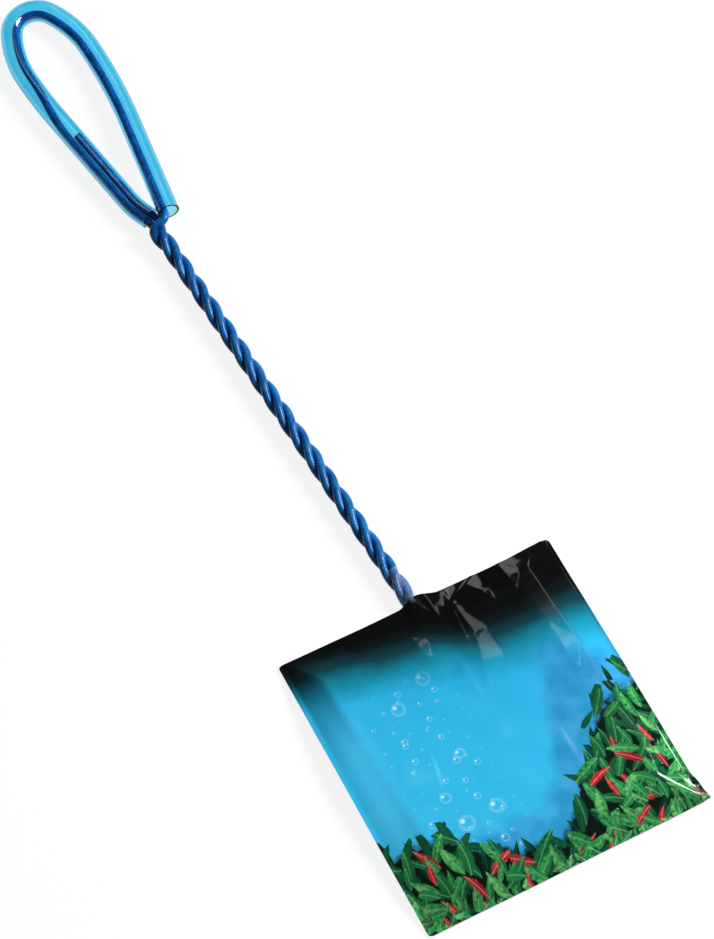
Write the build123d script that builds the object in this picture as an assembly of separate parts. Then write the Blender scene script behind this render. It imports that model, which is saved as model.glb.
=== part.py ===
from build123d import *

import math
import os

# Aquarium fish net in its film bag, in millimetres and degrees.
# One coated wire makes the handle of three twisted strands: it starts as a stub in the bow's left leg,
# runs down to the hoop and round it, up again and over the bow, and down to a cut end at the neck.
# A vinyl tube covers the bow. A binding holds a mesh pocket on the hoop.
# The bag lies flat with its mouth towards +Y, and the origin is the middle of its back face.
# The net leans to the left of the bag's axis. Net pieces are drawn in the net's own frame:
# its origin is the middle of the hoop's near bar, with the handle along +Y and the wire at z 0.

# Wire: plastic coat on a steel core
wire_diameter = 2.55
core_diameter = 1.6
bond_gap = 0.03

# Twisted handle, from the hoop's near bar to the outside of the bow's crown
handle_length = 254.0
bow_length = 92.0
neck_height = 10.7
twist_turns = 5 + 5 / 6
strand_gap = 0.14

# Levels under the twist's top at which the strands leave it
right_strand_drop = 11.0
stub_strand_drop = 5.75
left_strand_drop = 0.1

# Where the right strand crosses over the others: shares of a strand's distance from the axis, and slopes
crossing_drop = 2.25
crossing_share = 1.44
crossing_lift_share = 0.88
crossing_slope = 1.38
crossing_side_slope = 0.1

# Hoop, along the wire's middle
hoop_width = 72.0
hoop_height = 56.0
hoop_corner_radius = 9.0
neck_bend_radius = 4.5
neck_straight = 0.4

# Bow, along the tube's middle
bow_width = 22.7
bow_offset = 3.6
crown_rise = 21.0
crown_radius = 8.0
right_leg_reach = 15.0
left_leg_reach = 8.2
right_foot_shift = 5.1
right_foot_rise = 0.85
left_foot_shift = 0.0
left_foot_rise = 3.95
left_foot_lean = 22.8
left_bend_rise = 5.3
left_bend_reach = 4.0
foot_gap = 0.25
stub_length = 32.0
strand_seat = 1.2

# Vinyl tube
tube_wall = 0.7
tube_play = 0.4

# Binding round the hoop wire, with a flat tail inside the hoop
binding_wall = 0.6
binding_gap = 0.05
binding_tail = 5.0
binding_setback = 3.0
tail_share = 2 / 3

# Mesh pocket, folded flat
mesh_pitch = 4.6
mesh_thread = 1.0
mesh_thickness = 0.4
mesh_border = 1.5
mesh_inset = 0.5
mesh_top_inset = 0.5
pocket_tail = 20.0
pocket_taper = 4.5
lay_gap = 0.05

# Seam round the pocket's end
seam_width = 1.8
seam_proud = 0.1
seam_corner_radius = 4.0
seam_clearance = 0.4

# Stitches along the binding's tail
stitch_length = 2.2
stitch_pitch = 3.6
stitch_width = 0.5
stitch_height = 0.2
stitch_inset = 3.4

# Clear band round the handle at the bag's mouth
band_below = 3.0
band_above = 10.7
band_wall = 0.12
band_gap = 0.05

# Film bag
film_thickness = 0.25
lean = 3.33
mouth_offset = -1.35
seat_depth = 11.3
mouth_clearance = 0.27
side_room = 2.93
side_seal = 3.0
foot_room = 7.7
foot_seal = 4.5
foot_flare = 1.5
edge_run = 8.5
bag_corner_radius = 2.5

# Points nearer than this are the same place
same_place = 1e-6

# Sizes that follow from the wire and the twist
wire_radius = wire_diameter / 2
core_radius = core_diameter / 2
neck_offset = wire_radius + strand_gap / 2
third_turn = 2 * math.pi / 3
strand_offset = (wire_diameter + strand_gap) / (2 * math.sin(third_turn / 2))
twist_radius = strand_offset + wire_radius
twist_top = handle_length - bow_length
twist_pitch = (twist_top - neck_height) / twist_turns

# Sizes that follow from the tube
tube_bore_radius = wire_diameter + tube_play / 2
tube_radius = tube_bore_radius + tube_wall
tube_diameter = 2 * tube_radius
wire_shift = tube_bore_radius - wire_radius - tube_play / 4

# Places of the bow
crown_level = handle_length - tube_radius
wide_level = crown_level - crown_rise
half_bow = bow_width / 2
crown_drop = crown_rise - crown_radius
side_radius = (half_bow**2 - crown_radius**2 + crown_drop**2) / (2 * (half_bow - crown_radius))
right_side = bow_offset + half_bow
left_side = bow_offset - half_bow
right_corner_level = wide_level - right_leg_reach
left_corner_level = wide_level - left_leg_reach
left_bend_shift = left_foot_shift - left_bend_rise * math.tan(math.radians(left_foot_lean))

# The right leg passes over the left one, so its foot is lifted until the tubes clear
right_leg_drift = (right_side - right_foot_shift) / (right_corner_level - twist_top - right_foot_rise)
leg_spread = right_foot_shift + right_leg_drift * (left_foot_rise - right_foot_rise) - left_foot_shift
right_foot_lift = math.sqrt(max(0, (tube_diameter + foot_gap) ** 2 - leg_spread**2))
right_foot = (right_foot_shift, twist_top + right_foot_rise, right_foot_lift)
left_foot = (left_foot_shift, twist_top + left_foot_rise, 0)

# Levels of the folded pocket over the wire's middle
binding_bore_radius = wire_radius + binding_gap
binding_radius = binding_bore_radius + binding_wall
upper_mesh_floor = binding_radius + lay_gap
upper_mesh_top = upper_mesh_floor + mesh_thickness
mesh_half_width = hoop_width / 2 - mesh_inset
pocket_end = -hoop_height - pocket_tail

# Sizes of the bag
band_radius = twist_radius + band_gap + band_wall
cavity_height = max(band_radius + mouth_clearance, tube_radius - film_thickness)
axis_height = cavity_height + film_thickness
bag_length = seat_depth + hoop_height + pocket_tail + foot_room + foot_seal
lean_sine = math.sin(math.radians(lean))
lean_cosine = math.cos(math.radians(lean))
head_half_width = (hoop_width / 2 + binding_radius) * lean_cosine
head_swing = (seat_depth + hoop_height) * lean_sine + mouth_offset
cavity_half_width = head_half_width + head_swing + side_room
mouth_half_width = cavity_half_width + side_seal
mouth_level = bag_length / 2
edge_radius = (edge_run**2 + cavity_height**2) / (2 * cavity_height)

# The net's frame in the bag
neck = (mouth_offset + seat_depth * lean_sine, mouth_level - seat_depth * lean_cosine, axis_height)
net_frame = Location(neck, (0, 0, lean))
bag_frame = Location((0, 0, axis_height))


def save(node, shape, frame):
    """Writes one piece, put from its own frame into the part's."""
    export_step(frame * shape, f"parts/{node}.step")


def biarc(start, start_way, end, end_way):
    """Two arcs in space that leave start along start_way and reach end along end_way."""
    chord = end - start
    ways = start_way + end_way
    spread = 1 - start_way.dot(end_way)
    along = chord.dot(ways)
    if spread < 1e-9:
        reach = chord.dot(chord) / (2 * along)
    else:
        reach = (math.sqrt(along**2 + 2 * spread * chord.dot(chord)) - along) / (2 * spread)
    first_corner = start + start_way * reach
    second_corner = end - end_way * reach
    middle = (first_corner + second_corner) * 0.5
    first = Edge.make_tangent_arc(start, start_way, middle)
    second = Edge.make_tangent_arc(middle, second_corner - first_corner, end)
    return [first, second]


def chain(stations):
    """Biarcs through a list of points, each with its unit direction."""
    edges = []
    for (start, start_way), (end, end_way) in zip(stations, stations[1:]):
        edges += biarc(start, start_way, end, end_way)
    return edges


def sweep_round(edges, outer, bore=0.0):
    """A rod along the edges, or a tube if it has a bore."""
    path = Wire(edges)
    section = Circle(outer)
    if bore > 0:
        section -= Circle(bore)
    return sweep(Plane(path @ 0, z_dir=path % 0) * section, path=path)


def save_wire(name, edges):
    """Writes the coat and the core of one run of wire."""
    save(f"{name}_coat", sweep_round(edges, wire_radius, core_radius + bond_gap), net_frame)
    save(f"{name}_core", sweep_round(edges, core_radius), net_frame)


def twist_station(strand, level):
    """Middle and direction of one strand in the twist; strand 0 starts on top, 1 right and 2 left."""
    rate = 2 * math.pi / twist_pitch
    turn = third_turn * strand + rate * (level - neck_height)
    across = strand_offset * math.sin(turn)
    up = strand_offset * math.cos(turn)
    way = Vector(up * rate, 1, -across * rate)
    return Vector(across, level, up), way.normalized()


def twist_stations(strand, drop):
    """Stations of one strand, from the twist's foot to a drop under its top."""
    last = twist_top - drop
    steps = math.ceil((last - neck_height) / (twist_pitch / 4))
    levels = [neck_height + (last - neck_height) * step / steps for step in range(steps + 1)]
    return [twist_station(strand, level) for level in levels]


def hoop_end(side):
    """The end of the hoop at the neck, and its direction; side is 1 for the right end."""
    return Vector(side * neck_offset, neck_bend_radius + neck_straight, 0), Vector(0, 1, 0)


def left_of(way):
    """The level direction to the left of a way."""
    return Vector(-way.Y, way.X, 0).normalized()


def straight(start, end):
    """A list of one straight edge, or of none where the two points are the same place."""
    if (end - start).length < same_place:
        return []
    return [Edge.make_line(start, end)]


def rounded(points, reaches, inward):
    """Straight runs through points with their corners rounded, all shifted to the left."""
    ways = [(end - start).normalized() for start, end in zip(points, points[1:])]
    start = points[0] + left_of(ways[0]) * inward
    edges = []
    for corner, reach, way, next_way in zip(points[1:-1], reaches, ways, ways[1:]):
        bend_start = corner - way * reach + left_of(way) * inward
        bend_end = corner + next_way * reach + left_of(next_way) * inward
        edges += straight(start, bend_start)
        edges += biarc(bend_start, way, bend_end, next_way)
        start = bend_end
    return edges + straight(start, points[-1] + left_of(ways[-1]) * inward)


def right_leg():
    """Foot, corner and wide point of the bow's right leg, along the tube's middle."""
    return [Vector(*right_foot), Vector(right_side, right_corner_level), Vector(right_side, wide_level)]


def left_leg():
    """Wide point, corner, bend and foot of the bow's left leg, along the tube's middle."""
    bend = Vector(left_bend_shift, twist_top + left_foot_rise + left_bend_rise)
    return [Vector(left_side, wide_level), Vector(left_side, left_corner_level), bend, Vector(*left_foot)]


def right_foot_station(inward):
    """The right leg's foot, shifted to the bow's inside, and the way up the leg."""
    foot, corner, _ = right_leg()
    way = (corner - foot).normalized()
    return foot + left_of(way) * inward, way


def left_foot_station(inward):
    """The left leg's foot, shifted to the bow's inside, and the way up the leg."""
    *_, bend, foot = left_leg()
    way = (bend - foot).normalized()
    return foot - left_of(way) * inward, way


def stub_end():
    """The place in the left leg beside the stub's end, along the tube's middle."""
    _, corner, bend, _ = left_leg()
    return bend + (corner - bend).normalized() * stub_length


def crown_edges(inward):
    """Three arcs over the crown, from the right wide point to the left one."""
    crown_centre = Vector(bow_offset, wide_level + crown_drop)
    right_centre = Vector(right_side - side_radius, wide_level)
    slope = (crown_centre - right_centre).normalized()
    right_joint = crown_centre + slope * (crown_radius - inward)
    left_joint = Vector(2 * bow_offset - right_joint.X, right_joint.Y)
    right_end = Vector(right_side - inward, wide_level)
    left_end = Vector(left_side + inward, wide_level)
    turned = Vector(-slope.Y, slope.X)
    left_way = Vector(turned.X, -turned.Y)
    return [
        Edge.make_tangent_arc(right_end, Vector(0, 1), right_joint),
        Edge.make_tangent_arc(right_joint, turned, left_joint),
        Edge.make_tangent_arc(left_joint, left_way, left_end),
    ]


def tube_edges():
    """The tube's middle line, from its right end over the crown to its left end."""
    right = rounded(right_leg(), [right_leg_reach], 0)
    left = rounded(left_leg(), [left_leg_reach, left_bend_reach], 0)
    return right + crown_edges(0) + left


def bow_edges():
    """The bow's wire: along the tube's inner side, then outwards past the stub in the left leg."""
    foot, corner, wide = right_leg()
    seat = foot + (corner - foot).normalized() * strand_seat
    edges = rounded([seat, corner, wide], [right_leg_reach], wire_shift)
    edges += crown_edges(wire_shift)
    *_, bend, left_end = left_leg()
    down = (bend - stub_end()).normalized()
    left_seat = left_end + (bend - left_end).normalized() * strand_seat
    beside_stub = stub_end() - left_of(down) * wire_shift
    edges += biarc(Vector(left_side + wire_shift, wide_level), Vector(0, -1), beside_stub, down)
    edges += rounded([stub_end(), bend, left_seat], [left_bend_reach], -wire_shift)
    return edges


def stub_strand_edges():
    """The wire's first run, drawn upwards: hoop's right end, twist, and the stub in the left leg."""
    foot, way = left_foot_station(wire_shift)
    *_, bend, left_end = left_leg()
    edges = chain([hoop_end(1), *twist_stations(1, stub_strand_drop), (foot, way)])
    return edges + rounded([left_end, bend, stub_end()], [left_bend_reach], -wire_shift)


def left_strand_edges():
    """The second run: hoop's left end, twist, and the outer side of the tube's left end."""
    foot, way = left_foot_station(-wire_shift)
    edges = chain([hoop_end(-1), *twist_stations(2, left_strand_drop), (foot, way)])
    return edges + [Edge.make_line(foot, foot + way * strand_seat)]


def right_strand_edges():
    """The third run: cut end at the neck, twist, and over the other two to the tube's right end."""
    foot, way = right_foot_station(wire_shift)
    across = -crossing_share * strand_offset
    up = crossing_lift_share * strand_offset
    crossing = Vector(across, twist_top - crossing_drop, up)
    crossing_way = Vector(crossing_side_slope, 1, crossing_slope).normalized()
    edges = chain([*twist_stations(0, right_strand_drop), (crossing, crossing_way), (foot, way)])
    return edges + [Edge.make_line(foot, foot + way * strand_seat)]


def hoop_edges():
    """The hoop, from the left side of the neck round to its right side."""
    half = hoop_width / 2
    top = neck_bend_radius + neck_straight
    points = [
        (-neck_offset, top),
        (-neck_offset, 0),
        (-half, 0),
        (-half, -hoop_height),
        (half, -hoop_height),
        (half, 0),
        (neck_offset, 0),
        (neck_offset, top),
    ]
    radii = [neck_bend_radius] + [hoop_corner_radius] * 4 + [neck_bend_radius]
    return FilletPolyline(*points, radius=radii).edges()


def binding_start():
    """Distance from the handle's axis at which the binding begins on the near bar."""
    return neck_offset + neck_bend_radius + binding_setback


def hoop_binding():
    """A sleeve round the hoop wire, with a flat tail towards the hoop's inside."""
    half = hoop_width / 2
    start = binding_start()
    corners = [(-half, 0), (-half, -hoop_height), (half, -hoop_height), (half, 0)]
    path = FilletPolyline((-start, 0), *corners, (start, 0), radius=hoop_corner_radius)
    tail_height = binding_wall * tail_share
    tail = Pos(binding_tail / 2, binding_radius - tail_height / 2) * Rectangle(binding_tail, tail_height)
    section = Circle(binding_radius) + tail - Circle(binding_bore_radius)
    seat = Plane((-start, 0, 0), x_dir=(0, -1, 0), z_dir=(-1, 0, 0))
    return sweep(seat * section, path=path)


def half_width_at(level):
    """Half the pocket's width at a distance along the net; it narrows past the far bar."""
    past_bar = max(0, -hoop_height - level)
    return mesh_half_width - pocket_taper * past_bar / pocket_tail


def mesh_panel(top, bottom, floor):
    """A net of square gaps between two levels, inside the pocket's outline."""
    levels = [top, bottom]
    if bottom < -hoop_height < top:
        levels.insert(1, -hoop_height)
    right_side = [(half_width_at(level), level) for level in levels]
    left_side = [(-x, level) for x, level in reversed(right_side)]
    outline = Wire(Polyline(*right_side, *left_side, close=True).edges())
    end_corners = outline.vertices().group_by(Axis.Y)[0]
    outline = outline.fillet_2d(seam_corner_radius - seam_width / 2, end_corners)
    gap = mesh_pitch - mesh_thread
    columns = math.floor((2 * (mesh_half_width - mesh_border) + mesh_thread) / mesh_pitch)
    rows = math.floor((top - bottom - 2 * mesh_border + mesh_thread) / mesh_pitch)
    middle = (top + bottom) / 2
    gaps = []
    for row in range(rows):
        y = middle + (row - (rows - 1) / 2) * mesh_pitch
        room = half_width_at(y - gap / 2) - mesh_border - gap / 2
        for column in range(columns):
            x = (column - (columns - 1) / 2) * mesh_pitch
            if abs(x) <= room:
                gaps.append(Wire.make_rect(gap, gap).moved(Location((x, y, 0))))
    net = Face(outline, gaps)
    return Pos(0, 0, floor) * extrude(net, mesh_thickness, dir=(0, 0, 1))


def pocket_seam():
    """A bar round the pocket's end, outside the edges of both panels."""
    shift = seam_width / 2 + lay_gap
    start = -hoop_height - binding_radius - seam_clearance
    end = pocket_end - shift
    start_x = half_width_at(start) + shift
    end_x = half_width_at(pocket_end) + shift
    points = [(-start_x, start), (-end_x, end), (end_x, end), (start_x, start)]
    path = FilletPolyline(*points, radius=seam_corner_radius)
    floor = -mesh_thickness / 2 - seam_proud
    height = upper_mesh_top + seam_proud - floor
    way = path % 0
    seat = Plane((-start_x, start, 0), x_dir=(-way.Y, way.X, 0), z_dir=way)
    section = Pos(0, floor + height / 2) * Rectangle(seam_width, height)
    return sweep(seat * section, path=path)


def stitch_row(start, end):
    """Stitches laid end to end between two points over the binding's tail."""
    run = end - start
    count = math.floor(run.length / stitch_pitch)
    angle = math.degrees(math.atan2(run.Y, run.X))
    stitch = Box(stitch_length, stitch_width, stitch_height)
    level = upper_mesh_top + stitch_height / 2
    row = []
    for index in range(count):
        place = start + run * ((index + 0.5) / count)
        row.append(Location((place.X, place.Y, level), (0, 0, angle)) * stitch)
    return row


def hem_stitches():
    """One row of stitches along each straight side of the hoop, two at the neck's bar."""
    side = hoop_width / 2 - stitch_inset
    near = -stitch_inset
    far = -hoop_height + stitch_inset
    corner = hoop_corner_radius - stitch_inset
    near_start = binding_start()
    rows = [
        (Vector(-near_start, near), Vector(-side + corner, near)),
        (Vector(-side, near - corner), Vector(-side, far + corner)),
        (Vector(-side + corner, far), Vector(side - corner, far)),
        (Vector(side, far + corner), Vector(side, near - corner)),
        (Vector(side - corner, near), Vector(near_start, near)),
    ]
    stitches = []
    for start, end in rows:
        stitches += stitch_row(start, end)
    return Compound(children=stitches)


def handle_band():
    """A clear film band wound round the handle where it leaves the bag."""
    length = band_below + band_above
    seat = Plane((0, seat_depth - band_below, 0), z_dir=(0, 1, 0))
    return extrude(seat * (Circle(band_radius) - Circle(band_radius - band_wall)), length)


def dome_profile(start, end, height, radius, open_end):
    """A flat-topped profile that rises by an arc at its start and, unless open, at its end."""
    centre_level = cavity_height - edge_radius
    reach = math.sqrt(radius**2 - centre_level**2)
    tilt = math.atan2(-centre_level, reach)
    half_way = (tilt + math.pi / 2) / 2
    bulge = (radius * math.cos(half_way), centre_level + radius * math.sin(half_way))
    first = ThreePointArc((start - reach, 0), (start - bulge[0], bulge[1]), (start, height))
    if open_end:
        last = Polyline((start, height), (end, height), (end, 0), (start - reach, 0))
        return make_face([first, *last.edges()])
    last = ThreePointArc((end, height), (end + bulge[0], bulge[1]), (end + reach, 0))
    top = Line((start, height), (end, height))
    base = Line((end + reach, 0), (start - reach, 0))
    return make_face([first, top, last, base])


def film_dome(grow, mouth):
    """The bag's hollow over its seam, grown by a film and reaching to the mouth."""
    height = cavity_height + grow
    radius = edge_radius + grow
    flat_half = cavity_half_width - edge_run
    flat_foot = -mouth_level + foot_seal + edge_run
    across = dome_profile(-flat_half, flat_half, height, radius, False)
    along = dome_profile(flat_foot, mouth, height, radius, True)
    width_prism = extrude(Plane.XZ * across, bag_length, both=True)
    length_prism = extrude(Plane.YZ * along, bag_length, both=True)
    return width_prism & length_prism


def bag_film():
    """One film of the bag: its domed middle and the sealed rim round three sides."""
    foot_half_width = mouth_half_width + foot_flare
    corners = [
        (-mouth_half_width, mouth_level),
        (mouth_half_width, mouth_level),
        (foot_half_width, -mouth_level),
        (-foot_half_width, -mouth_level),
    ]
    outline = make_face(Polyline(*corners, close=True))
    outline = fillet(outline.vertices(), bag_corner_radius)
    rim = extrude(outline, film_thickness, dir=(0, 0, 1))
    hollow = film_dome(0, mouth_level + film_thickness)
    return rim + film_dome(film_thickness, mouth_level) - hollow


def main():
    """Writes every piece of the net and of the bag."""
    os.makedirs("parts", exist_ok=True)
    save_wire("hoop", hoop_edges())
    save_wire("stub_strand", stub_strand_edges())
    save_wire("left_strand", left_strand_edges())
    save_wire("right_strand", right_strand_edges())
    save_wire("bow", bow_edges())
    save("grip_tube", sweep_round(tube_edges(), tube_radius, tube_bore_radius), net_frame)
    save("hoop_binding", hoop_binding(), net_frame)
    lower_top = -hoop_height - binding_radius - lay_gap
    save("upper_mesh", mesh_panel(mesh_top_inset, pocket_end, upper_mesh_floor), net_frame)
    save("lower_mesh", mesh_panel(lower_top, pocket_end, -mesh_thickness / 2), net_frame)
    save("pocket_seam", pocket_seam(), net_frame)
    save("hem_stitches", hem_stitches(), net_frame)
    save("handle_band", handle_band(), net_frame)
    film = bag_film()
    save("bag_front", film, bag_frame)
    save("bag_back", mirror(film, about=Plane.XY), bag_frame)


main()
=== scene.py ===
"""Looks of an aquarium fish net in its film bag.

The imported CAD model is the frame: the coated wire, its steel core and the vinyl tube stay as they
are and get their finishes here. The sewn net head, the clear band on the handle and the two films
of the bag are modelled here and stand for their CAD solids. Sizes are in millimetres unless a class
says otherwise, and become metres where a mesh is made. The net's head and the band are measured in
the net's own frame, and the bag in the part's.
"""

from __future__ import annotations

import logging
import math
from dataclasses import dataclass
from enum import Enum
from typing import Sequence

import bpy
import numpy as np
from mathutils import Matrix, Vector


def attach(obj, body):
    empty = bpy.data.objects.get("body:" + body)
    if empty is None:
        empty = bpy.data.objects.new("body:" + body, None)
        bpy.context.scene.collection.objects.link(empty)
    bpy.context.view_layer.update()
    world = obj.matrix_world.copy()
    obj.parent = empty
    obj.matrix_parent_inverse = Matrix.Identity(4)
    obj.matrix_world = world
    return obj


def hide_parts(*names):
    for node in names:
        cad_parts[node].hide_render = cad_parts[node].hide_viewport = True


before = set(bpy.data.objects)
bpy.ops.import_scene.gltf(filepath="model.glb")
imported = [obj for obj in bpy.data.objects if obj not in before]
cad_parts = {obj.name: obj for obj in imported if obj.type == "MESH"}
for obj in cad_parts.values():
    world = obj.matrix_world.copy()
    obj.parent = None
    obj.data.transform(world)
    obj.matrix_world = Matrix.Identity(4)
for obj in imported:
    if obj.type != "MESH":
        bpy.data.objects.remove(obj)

MM = 0.001
MERGE_DISTANCE = 0.002 * MM
FLOAT = "NodeSocketFloat"
VECTOR = "NodeSocketVector"
FILM_MAP = "flat_film"
# Attribute of the whitened crease lines, partly wear and partly a painted highlight.
CREASE_WHITENING_AND_GLINT = "crease"

Colour = tuple[float, float, float, float]
Point = tuple[float, float]
Socket = bpy.types.NodeSocket

WHITE: Colour = (1.0, 1.0, 1.0, 1.0)

log = logging.getLogger("fish_net")


class Body(Enum):
    """The CAD bodies that pieces ride on."""

    NET = "net"
    BAG = "bag"


class Slot(Enum):
    """The material slots of the part's record."""

    WIRE_COAT = "wire_coat"
    WIRE_CORE = "wire_core"
    GRIP_VINYL = "grip_vinyl"
    BINDING = "binding"
    MESH = "mesh"
    THREAD = "thread"
    BAND_FILM = "band_film"
    FRONT_FILM = "front_film"
    BACK_FILM = "back_film"


class Held(Enum):
    LAID = "laid"
    FOLDED = "folded"
    STRETCHED = "stretched"


def paint(red: int, green: int, blue: int) -> Colour:
    """Turn a screen colour into the linear colour that shaders take.

    Args:
        red: Red, from 0 to 255.
        green: Green, from 0 to 255.
        blue: Blue, from 0 to 255.

    Returns:
        The linear colour with full alpha.
    """
    shares = []
    for level in (red, green, blue):
        share = level / 255
        shares.append(share / 12.92 if share <= 0.04045 else ((share + 0.055) / 1.055) ** 2.4)
    return (shares[0], shares[1], shares[2], 1.0)


def ease(values: np.ndarray) -> np.ndarray:
    """Smooth step of values clipped to 0 and 1."""
    clipped = np.clip(values, 0.0, 1.0)
    return clipped * clipped * (3.0 - 2.0 * clipped)


def deselect_all() -> None:
    """Leave edit mode and deselect every object."""
    if bpy.context.object and bpy.context.object.mode != "OBJECT":
        bpy.ops.object.mode_set(mode="OBJECT")
    bpy.ops.object.select_all(action="DESELECT")


def make_active(piece: bpy.types.Object) -> None:
    """Select one object alone and make it active.

    Args:
        piece: The object.
    """
    deselect_all()
    piece.select_set(True)
    bpy.context.view_layer.objects.active = piece


def settle(piece: bpy.types.Object) -> None:
    """Move an object's place, turn and scale into its mesh."""
    make_active(piece)
    bpy.ops.object.transform_apply(location=True, rotation=True, scale=True)


def join(pieces: Sequence[bpy.types.Object]) -> bpy.types.Object:
    """Join objects into one mesh.

    Args:
        pieces: The objects to join. The first one stays.

    Returns:
        The first object, which now holds every mesh.
    """
    make_active(pieces[0])
    for piece in pieces:
        piece.select_set(True)
    if len(pieces) > 1:
        bpy.ops.object.join()
    return pieces[0]


def scatter(model: bpy.types.Object, places: Sequence[Matrix]) -> bpy.types.Object:
    """Copy a model to each place and join the copies.

    Args:
        model: The object to copy. It is removed afterwards.
        places: One placing matrix for each copy.

    Returns:
        One object with every copy in its mesh.
    """
    copies = []
    for place in places:
        copy = model.copy()
        copy.data = model.data.copy()
        copy.data.transform(place)
        bpy.context.collection.objects.link(copy)
        copies.append(copy)
    bpy.data.objects.remove(model)
    return join(copies)


def add_modifier(piece: bpy.types.Object, kind: str, **settings: object) -> None:
    """Add a modifier, set its fields and apply it.

    Args:
        piece: The object to change.
        kind: The modifier's type.
        settings: Values for the modifier's fields.
    """
    make_active(piece)
    modifier = piece.modifiers.new(kind.lower(), kind)
    for field, value in settings.items():
        setattr(modifier, field, value)
    bpy.ops.object.modifier_apply(modifier=modifier.name)


def merge_and_face_out(piece: bpy.types.Object) -> None:
    """Merge doubled points and turn every face outwards.

    Args:
        piece: The object to change.
    """
    make_active(piece)
    bpy.ops.object.mode_set(mode="EDIT")
    bpy.ops.mesh.select_all(action="SELECT")
    bpy.ops.mesh.remove_doubles(threshold=MERGE_DISTANCE)
    bpy.ops.mesh.normals_make_consistent(inside=False)
    bpy.ops.object.mode_set(mode="OBJECT")


def smooth_by_angle(piece: bpy.types.Object, degrees: float) -> None:
    """Shade an object smooth, with sharp edges past an angle."""
    make_active(piece)
    bpy.ops.object.shade_smooth_by_angle(angle=math.radians(degrees))


def points_of(piece: bpy.types.Object) -> np.ndarray:
    """Read a mesh's points.

    Args:
        piece: The object to read.

    Returns:
        One row of three millimetre values for each point.
    """
    flat = np.zeros(len(piece.data.vertices) * 3)
    piece.data.vertices.foreach_get("co", flat)
    return flat.reshape(-1, 3) / MM


def move_points(piece: bpy.types.Object, points: np.ndarray) -> None:
    """Write a mesh's points, given in millimetres."""
    piece.data.vertices.foreach_set("co", (points * MM).ravel())
    piece.data.update()


def cut_along(piece: bpy.types.Object, axis: int, length: float, cuts: int) -> None:
    """Cut a straight cylinder into even rings along its length.

    Args:
        piece: The cylinder's object.
        axis: The axis that it runs along.
        length: Its length.
        cuts: How many times it is cut.
    """
    make_active(piece)
    bpy.ops.object.mode_set(mode="EDIT")
    bpy.ops.mesh.select_all(action="DESELECT")
    bpy.ops.object.mode_set(mode="OBJECT")
    mesh = piece.data
    for edge in mesh.edges:
        ends = [mesh.vertices[index].co[axis] for index in edge.vertices]
        edge.select = abs(ends[0] - ends[1]) > 0.5 * length * MM
    bpy.ops.object.mode_set(mode="EDIT")
    bpy.ops.mesh.select_mode(type="EDGE")
    bpy.ops.mesh.subdivide(number_cuts=cuts)
    bpy.ops.object.mode_set(mode="OBJECT")


def hand_over(
    piece: bpy.types.Object,
    name: str,
    material: bpy.types.Material,
    body: Body,
    nodes: Sequence[str],
) -> bpy.types.Object:
    """Name a finished piece, dress it and tie it to the frame.

    Args:
        piece: The finished object.
        name: Its name.
        material: The finish it wears.
        body: The CAD body it rides on.
        nodes: The CAD nodes it stands for.

    Returns:
        The same object.
    """
    piece.name = name
    piece.data.name = name
    piece.data.materials.clear()
    piece.data.materials.append(material)
    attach(piece, body.value)
    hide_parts(*nodes)
    log.info("%s: %d faces, rides on %s", name, len(piece.data.polygons), body.value)
    return piece


def dress_node(node: str, material: bpy.types.Material) -> None:
    """Give a CAD node that stays in view a finish.

    Args:
        node: The node's name.
        material: The finish it wears.
    """
    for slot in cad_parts[node].material_slots:
        slot.material = material
    log.info("%s: keeps its CAD shape, finish %s", node, material.name)


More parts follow.
